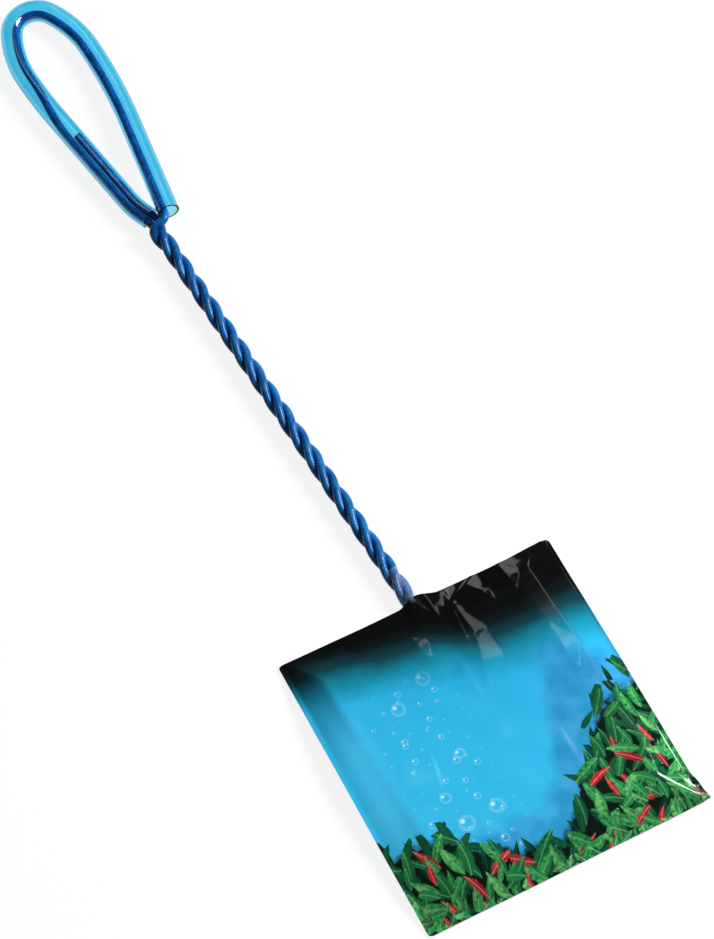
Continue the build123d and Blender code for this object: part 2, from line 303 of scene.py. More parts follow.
class NodeBench:
    """Adds and links the nodes of one shader tree."""

    def __init__(self, tree: bpy.types.NodeTree) -> None:
        """Keep the tree that the nodes go into."""
        self.tree = tree

    def node(self, kind: str, inputs: dict | None = None, **settings: object) -> bpy.types.Node:
        """Add a node, set its fields and fill or link its inputs.

        Args:
            kind: The node's type name.
            inputs: Values or sockets by input name or number.
            settings: Values for the node's own fields.

        Returns:
            The new node.
        """
        made = self.tree.nodes.new(kind)
        for field, value in settings.items():
            setattr(made, field, value)
        self.fill(made, inputs or {})
        return made

    def fill(self, made: bpy.types.Node, inputs: dict) -> None:
        """Set or link a node's inputs.

        Args:
            made: The node.
            inputs: Values or sockets by input name or number.
        """
        for key, value in inputs.items():
            if isinstance(value, Socket):
                self.tree.links.new(value, made.inputs[key])
            else:
                made.inputs[key].default_value = value

    def math(self, operation: str, *values: object) -> Socket:
        """Add a math node and return its result."""
        made = self.node("ShaderNodeMath", dict(enumerate(values)), operation=operation)
        return made.outputs[0]

    def vector_math(self, operation: str, first: Socket, second: object) -> Socket:
        """Add a vector math node and return its result."""
        made = self.node("ShaderNodeVectorMath", {0: first, 1: second}, operation=operation)
        return made.outputs[0]

    def fade(self, value: object, start: float, end: float) -> Socket:
        """Map a value smoothly from 0 at start to 1 at end.

        Args:
            value: The socket or number to map.
            start: The value that gives 0.
            end: The value that gives 1.

        Returns:
            The mapped value.
        """
        inputs = {"Value": value, "From Min": start, "From Max": end}
        return self.node("ShaderNodeMapRange", inputs, interpolation_type="SMOOTHSTEP").outputs[0]

    def mix(self, factor: object, first: object, second: object) -> Socket:
        """Mix two colours.

        Args:
            factor: How much of the second colour shows.
            first: The first colour.
            second: The second colour.

        Returns:
            The mixed colour.
        """
        inputs = {0: factor, 6: first, 7: second}
        return self.node("ShaderNodeMix", inputs, data_type="RGBA").outputs[2]

    def noise(self, vector: Socket, scale: object, detail: float = 2.0) -> Socket:
        """Add a noise texture and return its value."""
        inputs = {"Vector": vector, "Scale": scale, "Detail": detail}
        return self.node("ShaderNodeTexNoise", inputs).outputs[0]

    def ramp(self, value: Socket, stops: Sequence[tuple[float, Colour]]) -> Socket:
        """Colour a value by named stops.

        Args:
            value: The value to colour, from 0 to 1.
            stops: Places and colours, in rising order.

        Returns:
            The colour.
        """
        made = self.node("ShaderNodeValToRGB", {0: value})
        elements = made.color_ramp.elements
        while len(elements) < len(stops):
            elements.new(0.5)
        for element, (place, colour) in zip(elements, stops):
            element.position = place
            element.color = colour
        return made.outputs[0]

    def split(self, vector: Socket) -> tuple[Socket, Socket, Socket]:
        """Split a vector into its three values."""
        made = self.node("ShaderNodeSeparateXYZ", {0: vector})
        return made.outputs[0], made.outputs[1], made.outputs[2]

    def combine(self, x: object, y: object, z: object = 0.0) -> Socket:
        """Join three values into a vector."""
        return self.node("ShaderNodeCombineXYZ", {0: x, 1: y, 2: z}).outputs[0]

    def object_place(self) -> Socket:
        """Return the place on the object, in metres."""
        return self.node("ShaderNodeTexCoord").outputs["Object"]

    def bump(self, height: Socket, distance: float, strength: float = 1.0) -> Socket:
        """Turn a height into a normal."""
        inputs = {"Height": height, "Distance": distance, "Strength": strength}
        return self.node("ShaderNodeBump", inputs).outputs[0]

    def group(self, tree: bpy.types.NodeTree, inputs: dict) -> bpy.types.Node:
        """Place a node group with its own values."""
        return self.node("ShaderNodeGroup", inputs, node_tree=tree)


class GroupBench(NodeBench):
    """A node bench for a shader node group with named inputs and outputs."""

    def __init__(self, name: str, inputs: dict[str, str], outputs: dict[str, str]) -> None:
        """Make the group and its sockets.

        Args:
            name: The group's name.
            inputs: Socket types by input name.
            outputs: Socket types by output name.
        """
        super().__init__(bpy.data.node_groups.new(name, "ShaderNodeTree"))
        for label, kind in inputs.items():
            self.tree.interface.new_socket(label, in_out="INPUT", socket_type=kind)
        for label, kind in outputs.items():
            self.tree.interface.new_socket(label, in_out="OUTPUT", socket_type=kind)
        self.given = self.tree.nodes.new("NodeGroupInput").outputs
        self.result = self.tree.nodes.new("NodeGroupOutput").inputs

    def give(self, label: str, value: Socket) -> None:
        """Send a value out of the group."""
        self.tree.links.new(value, self.result[label])


class SharedEffects:
    """Shader node groups that more than one finish uses."""

    def __init__(self) -> None:
        """Build the groups once."""
        self.handling = self._handling()
        self.weave = self._weave()

    def marks(self, bench: NodeBench, grain: float) -> bpy.types.NodeOutputs:
        """Place the handling marks in a material and return their outputs."""
        return bench.group(self.handling, {"Vector": bench.object_place(), "Grain": grain}).outputs

    def _handling(self) -> bpy.types.NodeTree:
        """Fine mottling and faint rubbed scratches of handled plastic.

        Returns:
            The node group.
        """
        bench = GroupBench(
            "handling_marks",
            {"Vector": VECTOR, "Grain": FLOAT},
            {"Mottle": FLOAT, "Rub": FLOAT, "Height": FLOAT},
        )
        place = bench.given["Vector"]
        grain = bench.given["Grain"]
        coarse = bench.noise(place, grain, 3.0)
        streak_place = bench.vector_math("MULTIPLY", place, (1.0, 0.16, 1.0))
        streaks = bench.noise(streak_place, bench.math("MULTIPLY", grain, 7.0))
        bench.give("Mottle", coarse)
        bench.give("Rub", bench.fade(streaks, 0.58, 0.74))
        bench.give("Height", bench.math("MULTIPLY_ADD", streaks, 0.35, coarse))
        return bench.tree

    def _weave(self) -> bpy.types.NodeTree:
        """Plain weave: threads that pass over and under each other, with a gap output that marks where
        painted shade goes between them.

        Returns:
            The node group.
        """
        bench = GroupBench(
            "plain_weave",
            {"Vector": VECTOR, "Threads": FLOAT},
            {"Height": FLOAT, "Gap Shade": FLOAT},
        )
        across, along, _ = bench.split(bench.given["Vector"])
        turn = bench.math("MULTIPLY", bench.given["Threads"], math.pi)
        warp = bench.math("SINE", bench.math("MULTIPLY", across, turn))
        weft = bench.math("SINE", bench.math("MULTIPLY", along, turn))
        height = bench.math("MULTIPLY_ADD", bench.math("MULTIPLY", warp, weft), 0.5, 0.5)
        # Painted shade: the gaps between threads, which the finish darkens.
        gap_shade = bench.fade(bench.math("ABSOLUTE", bench.math("ADD", warp, weft)), 1.2, 0.0)
        bench.give("Height", height)
        bench.give("Gap Shade", gap_shade)
        return bench.tree


def empty_material(name: str) -> tuple[bpy.types.Material, NodeBench]:
    """Make a material without nodes.

    Args:
        name: The material's name.

    Returns:
        The material and a bench for its tree.
    """
    material = bpy.data.materials.new(name)
    material.use_nodes = True
    material.node_tree.nodes.clear()
    return material, NodeBench(material.node_tree)


class Finish:
    """A surface finish that makes one Blender material."""

    def start(self, slot: Slot) -> tuple[bpy.types.Material, NodeBench, bpy.types.Node]:
        """Make a material with a plain Principled shader.

        Args:
            slot: The record's slot that the material is named after.

        Returns:
            The material, a bench for its tree and its shader node.
        """
        material, bench = empty_material(slot.value)
        shader = bench.node("ShaderNodeBsdfPrincipled")
        bench.node("ShaderNodeOutputMaterial", {"Surface": shader.outputs[0]})
        return material, bench, shader


@dataclass(frozen=True)
class CoatedWireFinish(Finish):
    """Satin blue plastic coat of the wire."""

    deep: Colour = paint(8, 84, 152)
    bright: Colour = paint(24, 116, 186)
    rubbed: Colour = paint(96, 160, 224)
    roughness: float = 0.2
    grain: float = 260.0
    ior: float = 1.28
    coat: float = 0.06
    coat_roughness: float = 0.1

    def material(self, effects: SharedEffects) -> bpy.types.Material:
        """Build the coat with mottled colour and rubbed gloss.

        Args:
            effects: The shared node groups.

        Returns:
            The finished material.
        """
        material, bench, shader = self.start(Slot.WIRE_COAT)
        marks = effects.marks(bench, self.grain)
        colour = bench.mix(bench.fade(marks["Mottle"], 0.3, 0.7), self.deep, self.bright)
        colour = bench.mix(bench.math("MULTIPLY", marks["Rub"], 0.04), colour, self.rubbed)
        inputs = {
            "Base Color": colour,
            "Roughness": bench.math("MULTIPLY_ADD", marks["Rub"], 0.15, self.roughness),
            "Normal": bench.bump(marks["Height"], 0.00003, 0.15),
            "IOR": self.ior,
            "Coat Weight": self.coat,
            "Coat Roughness": self.coat_roughness,
        }
        bench.fill(shader, inputs)
        return material


@dataclass(frozen=True)
class SteelFinish(Finish):
    """Bright cut steel of the wire's core."""

    bright: Colour = paint(190, 192, 196)
    dull: Colour = paint(120, 122, 128)
    roughness: float = 0.34
    grain: float = 900.0

    def material(self, effects: SharedEffects) -> bpy.types.Material:
        """Build the steel with fine cutting marks.

        Args:
            effects: The shared node groups.

        Returns:
            The finished material.
        """
        material, bench, shader = self.start(Slot.WIRE_CORE)
        mottle = effects.marks(bench, self.grain)["Mottle"]
        inputs = {
            "Base Color": bench.mix(mottle, self.bright, self.dull),
            "Roughness": bench.math("MULTIPLY_ADD", mottle, 0.2, self.roughness),
            "Metallic": 1.0,
        }
        bench.fill(shader, inputs)
        return material


@dataclass(frozen=True)
class VinylTubeFinish(Finish):
    """See-through cyan vinyl of the hanging bow's tube."""

    clear: Colour = paint(240, 251, 255)
    cloudy: Colour = paint(222, 244, 254)
    dye: Colour = (0.01, 0.81, 0.945, 1.0)
    dye_density: float = 1500.0
    lamp_tint: Colour = (0.42, 0.45, 0.38, 1.0)
    roughness: float = 0.04
    grain: float = 120.0
    ior: float = 1.53

    def material(self, effects: SharedEffects) -> bpy.types.Material:
        """Build the vinyl: dyed through its wall, with a faint cloud, and lamps shine in.

        Args:
            effects: The shared node groups.

        Returns:
            The finished material.
        """
        material, bench, shader = self.start(Slot.GRIP_VINYL)
        marks = effects.marks(bench, self.grain)
        inputs = {
            "Base Color": bench.mix(bench.fade(marks["Mottle"], 0.35, 0.75), self.clear, self.cloudy),
            "Roughness": bench.math("MULTIPLY_ADD", marks["Rub"], 0.05, self.roughness),
            "IOR": self.ior,
            "Transmission Weight": 1.0,
        }
        bench.fill(shader, inputs)
        lamp_ray = bench.node("ShaderNodeLightPath").outputs["Is Shadow Ray"]
        let_in = bench.node("ShaderNodeBsdfTransparent", {"Color": self.lamp_tint})
        mixed = bench.node("ShaderNodeMixShader", {0: lamp_ray, 1: shader.outputs[0], 2: let_in.outputs[0]})
        dye = bench.node("ShaderNodeVolumeAbsorption", {"Color": self.dye, "Density": self.dye_density})
        output = bench.tree.nodes["Material Output"]
        bench.fill(output, {"Surface": mixed.outputs[0], "Volume": dye.outputs[0]})
        return material


@dataclass(frozen=True)
class WovenFinish(Finish):
    """Woven or sewn blue textile."""

    slot: Slot
    low: Colour
    high: Colour
    threads: float
    roughness: float = 0.82
    grain: float = 180.0
    sheen: float = 0.25
    sheen_roughness: float = 0.4

    def material(self, effects: SharedEffects) -> bpy.types.Material:
        """Build the textile with its weave, a little fuzz and painted shading: raised threads lighter, gaps
        darker.

        Args:
            effects: The shared node groups.

        Returns:
            The finished material.
        """
        material, bench, shader = self.start(self.slot)
        threads = {"Vector": bench.object_place(), "Threads": self.threads}
        weave = bench.group(effects.weave, threads).outputs
        mottle = effects.marks(bench, self.grain)["Mottle"]
        # Painted shading: raised threads are lighter, mixed with random mottle.
        shade = bench.math("MULTIPLY_ADD", mottle, 0.5, weave["Height"])
        colour = bench.mix(bench.fade(shade, 0.25, 1.1), self.low, self.high)
        # Painted shade: darker in the gaps between threads.
        colour = bench.mix(bench.math("MULTIPLY", weave["Gap Shade"], 0.45), colour, self.low)
        inputs = {
            "Base Color": colour,
            "Roughness": bench.math("MULTIPLY_ADD", mottle, 0.12, self.roughness - 0.06),
            "Normal": bench.bump(weave["Height"], 0.00012, 0.7),
            "Sheen Weight": self.sheen,
            "Sheen Roughness": self.sheen_roughness,
        }
        bench.fill(shader, inputs)
        return material


@dataclass(frozen=True)
class ClearFilmFinish(Finish):
    """Thin clear film wound on the handle."""

    tint: Colour = paint(226, 234, 244)
    bright: Colour = paint(244, 248, 252)
    least: float = 0.02
    most: float = 0.11
    roughness: float = 0.16
    grain: float = 320.0

    def material(self, effects: SharedEffects) -> bpy.types.Material:
        """Build the film with mottled patches that are whiter and less clear: haze with a painted sheen.

        Args:
            effects: The shared node groups.

        Returns:
            The finished material.
        """
        material, bench, shader = self.start(Slot.BAND_FILM)
        marks = effects.marks(bench, self.grain)
        # Painted sheen: random mottled patches are whiter and more opaque, together with the film's haze.
        haze_and_sheen = bench.fade(marks["Mottle"], 0.35, 0.75)
        inputs = {
            "Base Color": bench.mix(haze_and_sheen, self.tint, self.bright),
            "Roughness": self.roughness,
            "Alpha": bench.math("MULTIPLY_ADD", haze_and_sheen, self.most - self.least, self.least),
            "Normal": bench.bump(marks["Height"], 0.0002, 0.8),
        }
        bench.fill(shader, inputs)
        return material


@dataclass(frozen=True)
class LeafLayer:
    """One layer of printed leaves, in millimetres on the flat film."""

    pitch: float
    seed: float
    length: float
    width: float
    spread: float
    reach: float
    low: Colour
    high: Colour
    rib: Colour


@dataclass(frozen=True)
class WaterPrint:
    """The printed underwater picture of the bag's front, in millimetres on the flat film.

    X runs from the film's left edge and Y up from its foot.
    """

    black: Colour = paint(3, 5, 5)
    night: Colour = paint(7, 24, 27)
    deep_teal: Colour = paint(12, 66, 75)
    teal: Colour = paint(18, 138, 166)
    sky: Colour = paint(44, 180, 230)
    light_sky: Colour = paint(52, 190, 238)
    # Paler sky painted along the left edge: painted light against the shade on the film's left slope.
    painted_ramp_light: Colour = paint(74, 204, 252)
    ripple: Colour = paint(110, 214, 246)
    shade: Colour = paint(5, 26, 20)
    rib: Colour = paint(140, 214, 140)
    reef: Colour = paint(30, 96, 168)
    reef_light: Colour = paint(72, 140, 206)
    bubble: Colour = paint(150, 220, 244)
    glint: Colour = paint(236, 250, 252)
    width: float = 95.7
    length: float = 99.5

    def layers(self) -> list[LeafLayer]:
        """The layers of leaves.

        Returns:
            The layers from the back of the bank to its front.
        """
        red = paint(150, 18, 34)
        rose = paint(232, 60, 62)
        pale = paint(246, 214, 212)
        deep = paint(12, 76, 48)
        green = paint(30, 128, 72)
        bright = paint(70, 184, 96)
        fresh = paint(124, 212, 120)
        return [
            LeafLayer(8.0, 0.37, 13.0, 3.0, 1.0, 1.0, self.shade, deep, green),
            LeafLayer(7.5, 5.81, 12.0, 3.4, 1.1, 1.02, deep, paint(16, 98, 60), green),
            LeafLayer(9.5, 11.26, 12.5, 3.6, 1.0, 0.98, deep, green, self.rib),
            LeafLayer(8.5, 17.93, 12.0, 3.6, 1.2, 0.92, paint(14, 84, 50), bright, self.rib),
            LeafLayer(13.0, 23.48, 10.5, 2.7, 1.4, 0.74, red, rose, pale),
            LeafLayer(9.0, 29.15, 11.5, 3.8, 1.1, 0.8, paint(18, 100, 56), bright, self.rib),
            LeafLayer(9.5, 34.62, 11.0, 3.8, 1.3, 0.64, paint(24, 120, 62), fresh, self.rib),
            LeafLayer(12.5, 40.71, 10.0, 2.5, 1.4, 0.56, red, rose, pale),
            LeafLayer(6.5, 46.34, 7.5, 3.0, 1.5, 0.4, green, bright, paint(168, 226, 170)),
            LeafLayer(5.0, 52.88, 5.0, 2.8, 1.5, 0.24, paint(16, 90, 52), fresh, paint(196, 234, 200)),
        ]

    def _cells(self, bench: GroupBench, randomness: float) -> tuple[Socket, bpy.types.NodeOutputs]:
        """Lay a group's pattern out in cells of its pitch.

        Args:
            bench: The group's bench, with X, Y, Pitch and Seed among its inputs.
            randomness: How far the cells' middles stray.

        Returns:
            The place counted in cells, and the outputs of the cell texture.
        """
        across, along, pitch, seed = (bench.given[name] for name in ("X", "Y", "Pitch", "Seed"))
        cells_across = bench.math("ADD", bench.math("DIVIDE", across, pitch), seed)
        place = bench.combine(cells_across, bench.math("DIVIDE", along, pitch))
        inputs = {"Vector": place, "Scale": 1.0, "Randomness": randomness}
        return place, bench.node("ShaderNodeTexVoronoi", inputs, voronoi_dimensions="2D").outputs

    def leaf_scatter(self) -> bpy.types.NodeTree:
        """Pointed leaves strewn one to a cell, each turned its own way about upright.

        Returns:
            The node group.
        """
        bench = GroupBench(
            "leaf_scatter",
            {name: FLOAT for name in ("X", "Y", "Pitch", "Seed", "Length", "Width", "Spread")},
            {name: FLOAT for name in ("Mask", "Along", "Across", "Chance", "Middle X", "Middle Y")},
        )
        given = bench.given
        pitch = given["Pitch"]
        _, cells = self._cells(bench, 0.85)
        turn_chance, size_chance, tone_chance = bench.split(cells["Color"])
        middle_x, middle_y, _ = bench.split(cells["Position"])
        middle_x = bench.math("MULTIPLY", bench.math("SUBTRACT", middle_x, given["Seed"]), pitch)
        middle_y = bench.math("MULTIPLY", middle_y, pitch)
        side = bench.math("SUBTRACT", given["X"], middle_x)
        rise = bench.math("SUBTRACT", given["Y"], middle_y)
        turn = bench.math("MULTIPLY", bench.math("MULTIPLY_ADD", turn_chance, 2.0, -1.0), given["Spread"])
        cosine = bench.math("COSINE", turn)
        sine = bench.math("SINE", turn)
        along = bench.math("MULTIPLY_ADD", side, sine, bench.math("MULTIPLY", rise, cosine))
        across = bench.math("MULTIPLY", side, cosine)
        across = bench.math("SUBTRACT", across, bench.math("MULTIPLY", rise, sine))
        size = bench.math("MULTIPLY_ADD", size_chance, 0.25, 0.35)
        along = bench.math("DIVIDE", along, bench.math("MULTIPLY", given["Length"], size))
        square = bench.math("MULTIPLY", along, along)
        bow = bench.math("MULTIPLY", bench.math("SUBTRACT", tone_chance, 0.5), square)
        across = bench.math("DIVIDE", across, bench.math("MULTIPLY", given["Width"], size))
        across = bench.math("SUBTRACT", across, bow)
        belly = bench.math("SUBTRACT", 1.0, square)
        belly = bench.math("MULTIPLY", belly, bench.math("MULTIPLY_ADD", along, -0.3, 0.95))
        edge = bench.math("SUBTRACT", belly, bench.math("ABSOLUTE", across))
        bench.give("Mask", bench.fade(edge, 0.0, 0.24))
        bench.give("Along", along)
        bench.give("Across", across)
        bench.give("Chance", tone_chance)
        bench.give("Middle X", middle_x)
        bench.give("Middle Y", middle_y)
        return bench.tree

    def bubble_field(self) -> bpy.types.NodeTree:
        """Round bubbles with a bright rim and a glint.

        Returns:
            The node group.
        """
        bench = GroupBench(
            "bubble_field",
            {"X": FLOAT, "Y": FLOAT, "Pitch": FLOAT, "Seed": FLOAT},
            {"Rim": FLOAT, "Glint": FLOAT},
        )
        place, cells = self._cells(bench, 0.8)
        chance, _, _ = bench.split(cells["Color"])
        radius = bench.math("MULTIPLY_ADD", bench.math("POWER", chance, 2.0), 0.2, 0.05)
        share = bench.math("DIVIDE", cells["Distance"], radius)
        side, rise, _ = bench.split(bench.vector_math("SUBTRACT", place, cells["Position"]))
        glint_side = bench.math("DIVIDE", bench.math("MULTIPLY_ADD", radius, 0.35, side), radius)
        glint_rise = bench.math("DIVIDE", bench.math("MULTIPLY_ADD", radius, -0.4, rise), radius)
        squares = bench.math("POWER", glint_side, 2.0)
        squares = bench.math("ADD", squares, bench.math("POWER", glint_rise, 2.0))
        rim = bench.math("MULTIPLY", bench.fade(share, 0.4, 0.95), bench.fade(share, 1.05, 0.9))
        bench.give("Rim", rim)
        bench.give("Glint", bench.fade(squares, 0.12, 0.02))
        return bench.tree

    def _background(self, bench: NodeBench, x: Socket, y: Socket, place: Socket) -> Socket:
        """Paint the water: black at the mouth, teal below it, then sky blue.

        Args:
            bench: The material's bench.
            x: Millimetres from the left edge.
            y: Millimetres up from the foot.
            place: Both as a vector.

        Returns:
            The water's colour.
        """
        depth = bench.math("SUBTRACT", self.length, y)
        depth = bench.math("MULTIPLY_ADD", bench.fade(x, 44.0, 14.0), 6.0, depth)
        depth = bench.math("MULTIPLY_ADD", bench.fade(x, 20.0, 0.0), 4.0, depth)
        depth = bench.math("MULTIPLY_ADD", bench.fade(x, 44.0, 58.0), -7.0, depth)
        wander = bench.math("SUBTRACT", bench.noise(place, 0.06), 0.5)
        depth = bench.math("MULTIPLY_ADD", wander, 8.0, depth)
        share = bench.math("DIVIDE", depth, 60.0)
        stops = [
            (0.0, self.black),
            (0.14, self.black),
            (0.21, self.night),
            (0.29, self.deep_teal),
            (0.39, self.teal),
            (0.52, self.sky),
            (1.0, self.light_sky),
        ]
        return bench.ramp(share, stops)

    def _bank(self, bench: NodeBench, x: Socket) -> Socket:
        """Height of the planted bank: low in the middle, higher at both sides.

        Args:
            bench: The material's bench.
            x: Millimetres from the left edge.

        Returns:
            The bank's height in millimetres.
        """
        height = bench.math("MULTIPLY_ADD", bench.fade(x, 46.0, 4.0), 22.0, 9.0)
        height = bench.math("MULTIPLY_ADD", bench.fade(x, 46.0, 88.0), 40.0, height)
        wander = bench.noise(bench.combine(x, 0.0), 0.09)
        return bench.math("MULTIPLY_ADD", bench.math("SUBTRACT", wander, 0.5), 16.0, height)

    def colour(self, bench: NodeBench, place: Socket) -> Socket:
        """Paint the whole picture.

        Args:
            bench: The material's bench.
            place: The place on the flat film in millimetres.

        Returns:
            The picture's colour.
        """
        x, y, _ = bench.split(place)
        colour = self._background(bench, x, y, place)
        ripples = bench.fade(bench.noise(place, 0.07, 3.0), 0.52, 0.74)
        lit = bench.math("MULTIPLY", ripples, bench.fade(y, 68.0, 44.0))
        colour = bench.mix(bench.math("MULTIPLY", lit, 0.22), colour, self.ripple)
        # Painted light: a paler strip along the left edge, so that the film's left slope, which faces away
        # from the key lamp, does not look darker.
        pale = bench.math("MULTIPLY", bench.fade(x, 17.0, 9.0), bench.fade(x, 1.0, 6.0))
        pale = bench.math("MULTIPLY", pale, bench.fade(y, 82.0, 62.0))
        colour = bench.mix(bench.math("MULTIPLY", pale, 0.7), colour, self.painted_ramp_light)
        colour = self._reef(bench, x, y, place, colour)
        colour = self._bubbles(bench, x, y, colour)
        backing = bench.math("SUBTRACT", bench.math("MULTIPLY", self._bank(bench, x), 0.86), y)
        backing = bench.math("MULTIPLY_ADD", bench.noise(place, 0.35), 7.0, backing)
        colour = bench.mix(bench.fade(backing, 2.0, 5.5), colour, self.shade)
        scatter_group = self.leaf_scatter()
        for layer in self.layers():
            colour = self._leaves(bench, scatter_group, layer, x, y, colour)
        return colour

    def _reef(self, bench: NodeBench, x: Socket, y: Socket, place: Socket, colour: Socket) -> Socket:
        """Paint a hazy reef far behind the bank on the right.

        Args:
            bench: The material's bench.
            x: Millimetres from the left edge.
            y: Millimetres up from the foot.
            place: Both as a vector.
            colour: The picture so far.

        Returns:
            The picture with the reef in it.
        """
        height = bench.math("MULTIPLY_ADD", bench.fade(x, 50.0, 78.0), 46.0, 18.0)
        height = bench.math("MULTIPLY_ADD", bench.fade(x, 78.0, 96.0), -12.0, height)
        height = bench.math("MULTIPLY_ADD", bench.noise(place, 0.16, 4.0), 16.0, height)
        inside = bench.fade(bench.math("SUBTRACT", height, y), 1.0, 13.0)
        tone = bench.mix(bench.fade(bench.noise(place, 0.14, 3.0), 0.35, 0.7), self.reef, self.reef_light)
        return bench.mix(bench.math("MULTIPLY", inside, 0.5), colour, tone)

    def _leaves(
        self,
        bench: NodeBench,
        group: bpy.types.NodeTree,
        layer: LeafLayer,
        x: Socket,
        y: Socket,
        colour: Socket,
    ) -> Socket:
        """Paint one layer of leaves over the picture.

        Args:
            bench: The material's bench.
            group: The leaf group.
            layer: The layer's sizes and colours.
            x: Millimetres from the left edge.
            y: Millimetres up from the foot.
            colour: The picture so far.

        Returns:
            The picture with the layer on it.
        """
        inputs = {"X": x, "Y": y, "Pitch": layer.pitch, "Seed": layer.seed}
        inputs.update({"Length": layer.length, "Width": layer.width, "Spread": layer.spread})
        leaves = bench.group(group, inputs).outputs
        bank = bench.math("MULTIPLY", self._bank(bench, leaves["Middle X"]), layer.reach)
        present = bench.math("LESS_THAN", leaves["Middle Y"], bank)
        chance = bench.math("MULTIPLY_ADD", leaves["Chance"], 0.8, 0.1)
        tone = bench.math("MULTIPLY_ADD", leaves["Along"], 0.3, chance)
        leaf = bench.mix(bench.fade(tone, -0.1, 1.0), layer.low, layer.high)
        speckle = bench.noise(bench.combine(x, y), 0.9, 3.0)
        leaf = bench.mix(bench.fade(speckle, 0.62, 0.3), leaf, layer.low)
        under = bench.fade(leaves["Across"], -0.1, 0.5)
        leaf = bench.mix(bench.math("MULTIPLY", under, 0.5), leaf, layer.low)
        rib = bench.fade(bench.math("ABSOLUTE", leaves["Across"]), 0.16, 0.04)
        leaf = bench.mix(bench.math("MULTIPLY", rib, 0.3), leaf, layer.rib)
        return bench.mix(bench.math("MULTIPLY", leaves["Mask"], present), colour, leaf)

    def _bubbles(self, bench: NodeBench, x: Socket, y: Socket, colour: Socket) -> Socket:
        """Paint a few faint bubbles that rise on the left.

        Args:
            bench: The material's bench.
            x: Millimetres from the left edge.
            y: Millimetres up from the foot.
            colour: The picture so far.

        Returns:
            The picture with the bubbles in it.
        """
        field = self.bubble_field()
        column = bench.math("MULTIPLY", bench.fade(x, 10.0, 18.0), bench.fade(x, 46.0, 36.0))
        column = bench.math("MULTIPLY", column, bench.fade(y, 80.0, 64.0))
        for pitch, seed in ((11.0, 0.4), (5.5, 3.7)):
            bubbles = bench.group(field, {"X": x, "Y": y, "Pitch": pitch, "Seed": seed}).outputs
            for part, strength, tone in (("Rim", 0.45, self.bubble), ("Glint", 0.7, self.glint)):
                share = bench.math("MULTIPLY", bubbles[part], column)
                colour = bench.mix(bench.math("MULTIPLY", share, strength), colour, tone)
        return colour


@dataclass(frozen=True)
class FrontFilmFinish(Finish):
    """Glossy printed film of the bag's front."""

    picture: WaterPrint
    whitening_and_glint: Colour = paint(228, 238, 238)
    whitening_and_glint_share: float = 0.85
    roughness: float = 0.1
    grain: float = 90.0
    ior: float = 1.5

    def material(self, effects: SharedEffects) -> bpy.types.Material:
        """Build the print under a glossy skin, with whitened crease lines that are partly wear and partly a
        painted highlight.

        Args:
            effects: The shared node groups.

        Returns:
            The finished material.
        """
        material, bench, shader = self.start(Slot.FRONT_FILM)
        flat = bench.node("ShaderNodeUVMap", uv_map=FILM_MAP).outputs[0]
        size = (self.picture.width, self.picture.length, 1.0)
        colour = self.picture.colour(bench, bench.vector_math("MULTIPLY", flat, size))
        # Painted highlight: the crease lines are whitened, partly as wear and partly in place of the folds'
        # glint.
        whitening_and_glint = bench.node("ShaderNodeAttribute", attribute_name=CREASE_WHITENING_AND_GLINT).outputs["Fac"]
        colour = bench.mix(bench.math("MULTIPLY", whitening_and_glint, self.whitening_and_glint_share), colour, self.whitening_and_glint)
        marks = effects.marks(bench, self.grain)
        inputs = {
            "Base Color": colour,
            "Roughness": bench.math("MULTIPLY_ADD", marks["Rub"], 0.06, self.roughness),
            "Normal": bench.bump(marks["Mottle"], 0.0002, 0.25),
            "IOR": self.ior,
        }
        bench.fill(shader, inputs)
        return material


@dataclass(frozen=True)
class BackFilmFinish(Finish):
    """Plain tinted film of the bag's back."""

    top: Colour = paint(8, 20, 24)
    middle: Colour = paint(22, 128, 164)
    foot: Colour = paint(54, 188, 234)
    roughness: float = 0.14
    grain: float = 90.0

    def material(self, effects: SharedEffects) -> bpy.types.Material:
        """Build the film with the same fall of colour as the front.

        Args:
            effects: The shared node groups.

        Returns:
            The finished material.
        """
        material, bench, shader = self.start(Slot.BACK_FILM)
        _, rise, _ = bench.split(bench.node("ShaderNodeUVMap", uv_map=FILM_MAP).outputs[0])
        marks = effects.marks(bench, self.grain)
        depth = bench.math("SUBTRACT", 0.96, rise)
        drift = bench.math("MULTIPLY_ADD", marks["Mottle"], 0.08, depth)
        stops = [(0.0, self.top), (0.12, self.top), (0.36, self.middle), (0.55, self.foot)]
        inputs = {
            "Base Color": bench.ramp(drift, stops),
            "Roughness": bench.math("MULTIPLY_ADD", marks["Rub"], 0.08, self.roughness),
            "Normal": bench.bump(marks["Mottle"], 0.0002, 0.35),
        }
        bench.fill(shader, inputs)
        return material


@dataclass(frozen=True)
class NetFrame:
    """The net's own frame: the hoop's near bar at y 0, the handle along +Y, the wire at z 0."""

    lean_degrees: float = 3.33
    neck_x: float = -0.694
    neck_y: float = 38.469
    wire_level: float = 3.518

    def place(self, piece: bpy.types.Object) -> None:
        """Move a mesh from the net's frame into the part's.

        Args:
            piece: The object whose mesh moves.
        """
        turn = Matrix.Rotation(math.radians(self.lean_degrees), 4, "Z")
        shift = Matrix.Translation(Vector((self.neck_x, self.neck_y, self.wire_level)) * MM)
        piece.data.transform(shift @ turn)
        piece.data.update()

    def local(self, x: np.ndarray, y: np.ndarray) -> tuple[np.ndarray, np.ndarray]:
        """Turn places in the part's frame into the net's.

        Args:
            x: Places across the part.
            y: Places along the part.

        Returns:
            The places across and along the net.
        """
        turn = math.radians(self.lean_degrees)
        side = x - self.neck_x
        rise = y - self.neck_y
        across = side * math.cos(turn) + rise * math.sin(turn)
        return across, rise * math.cos(turn) - side * math.sin(turn)


@dataclass(frozen=True)
class Run:
    """A straight step of a sweep, in millimetres."""

    way: tuple[float, float]
    steps: int


@dataclass(frozen=True)
class Turn:
    """A step of a sweep round an upright axis, in millimetres and degrees."""

    centre: Point
    degrees: float
    steps: int


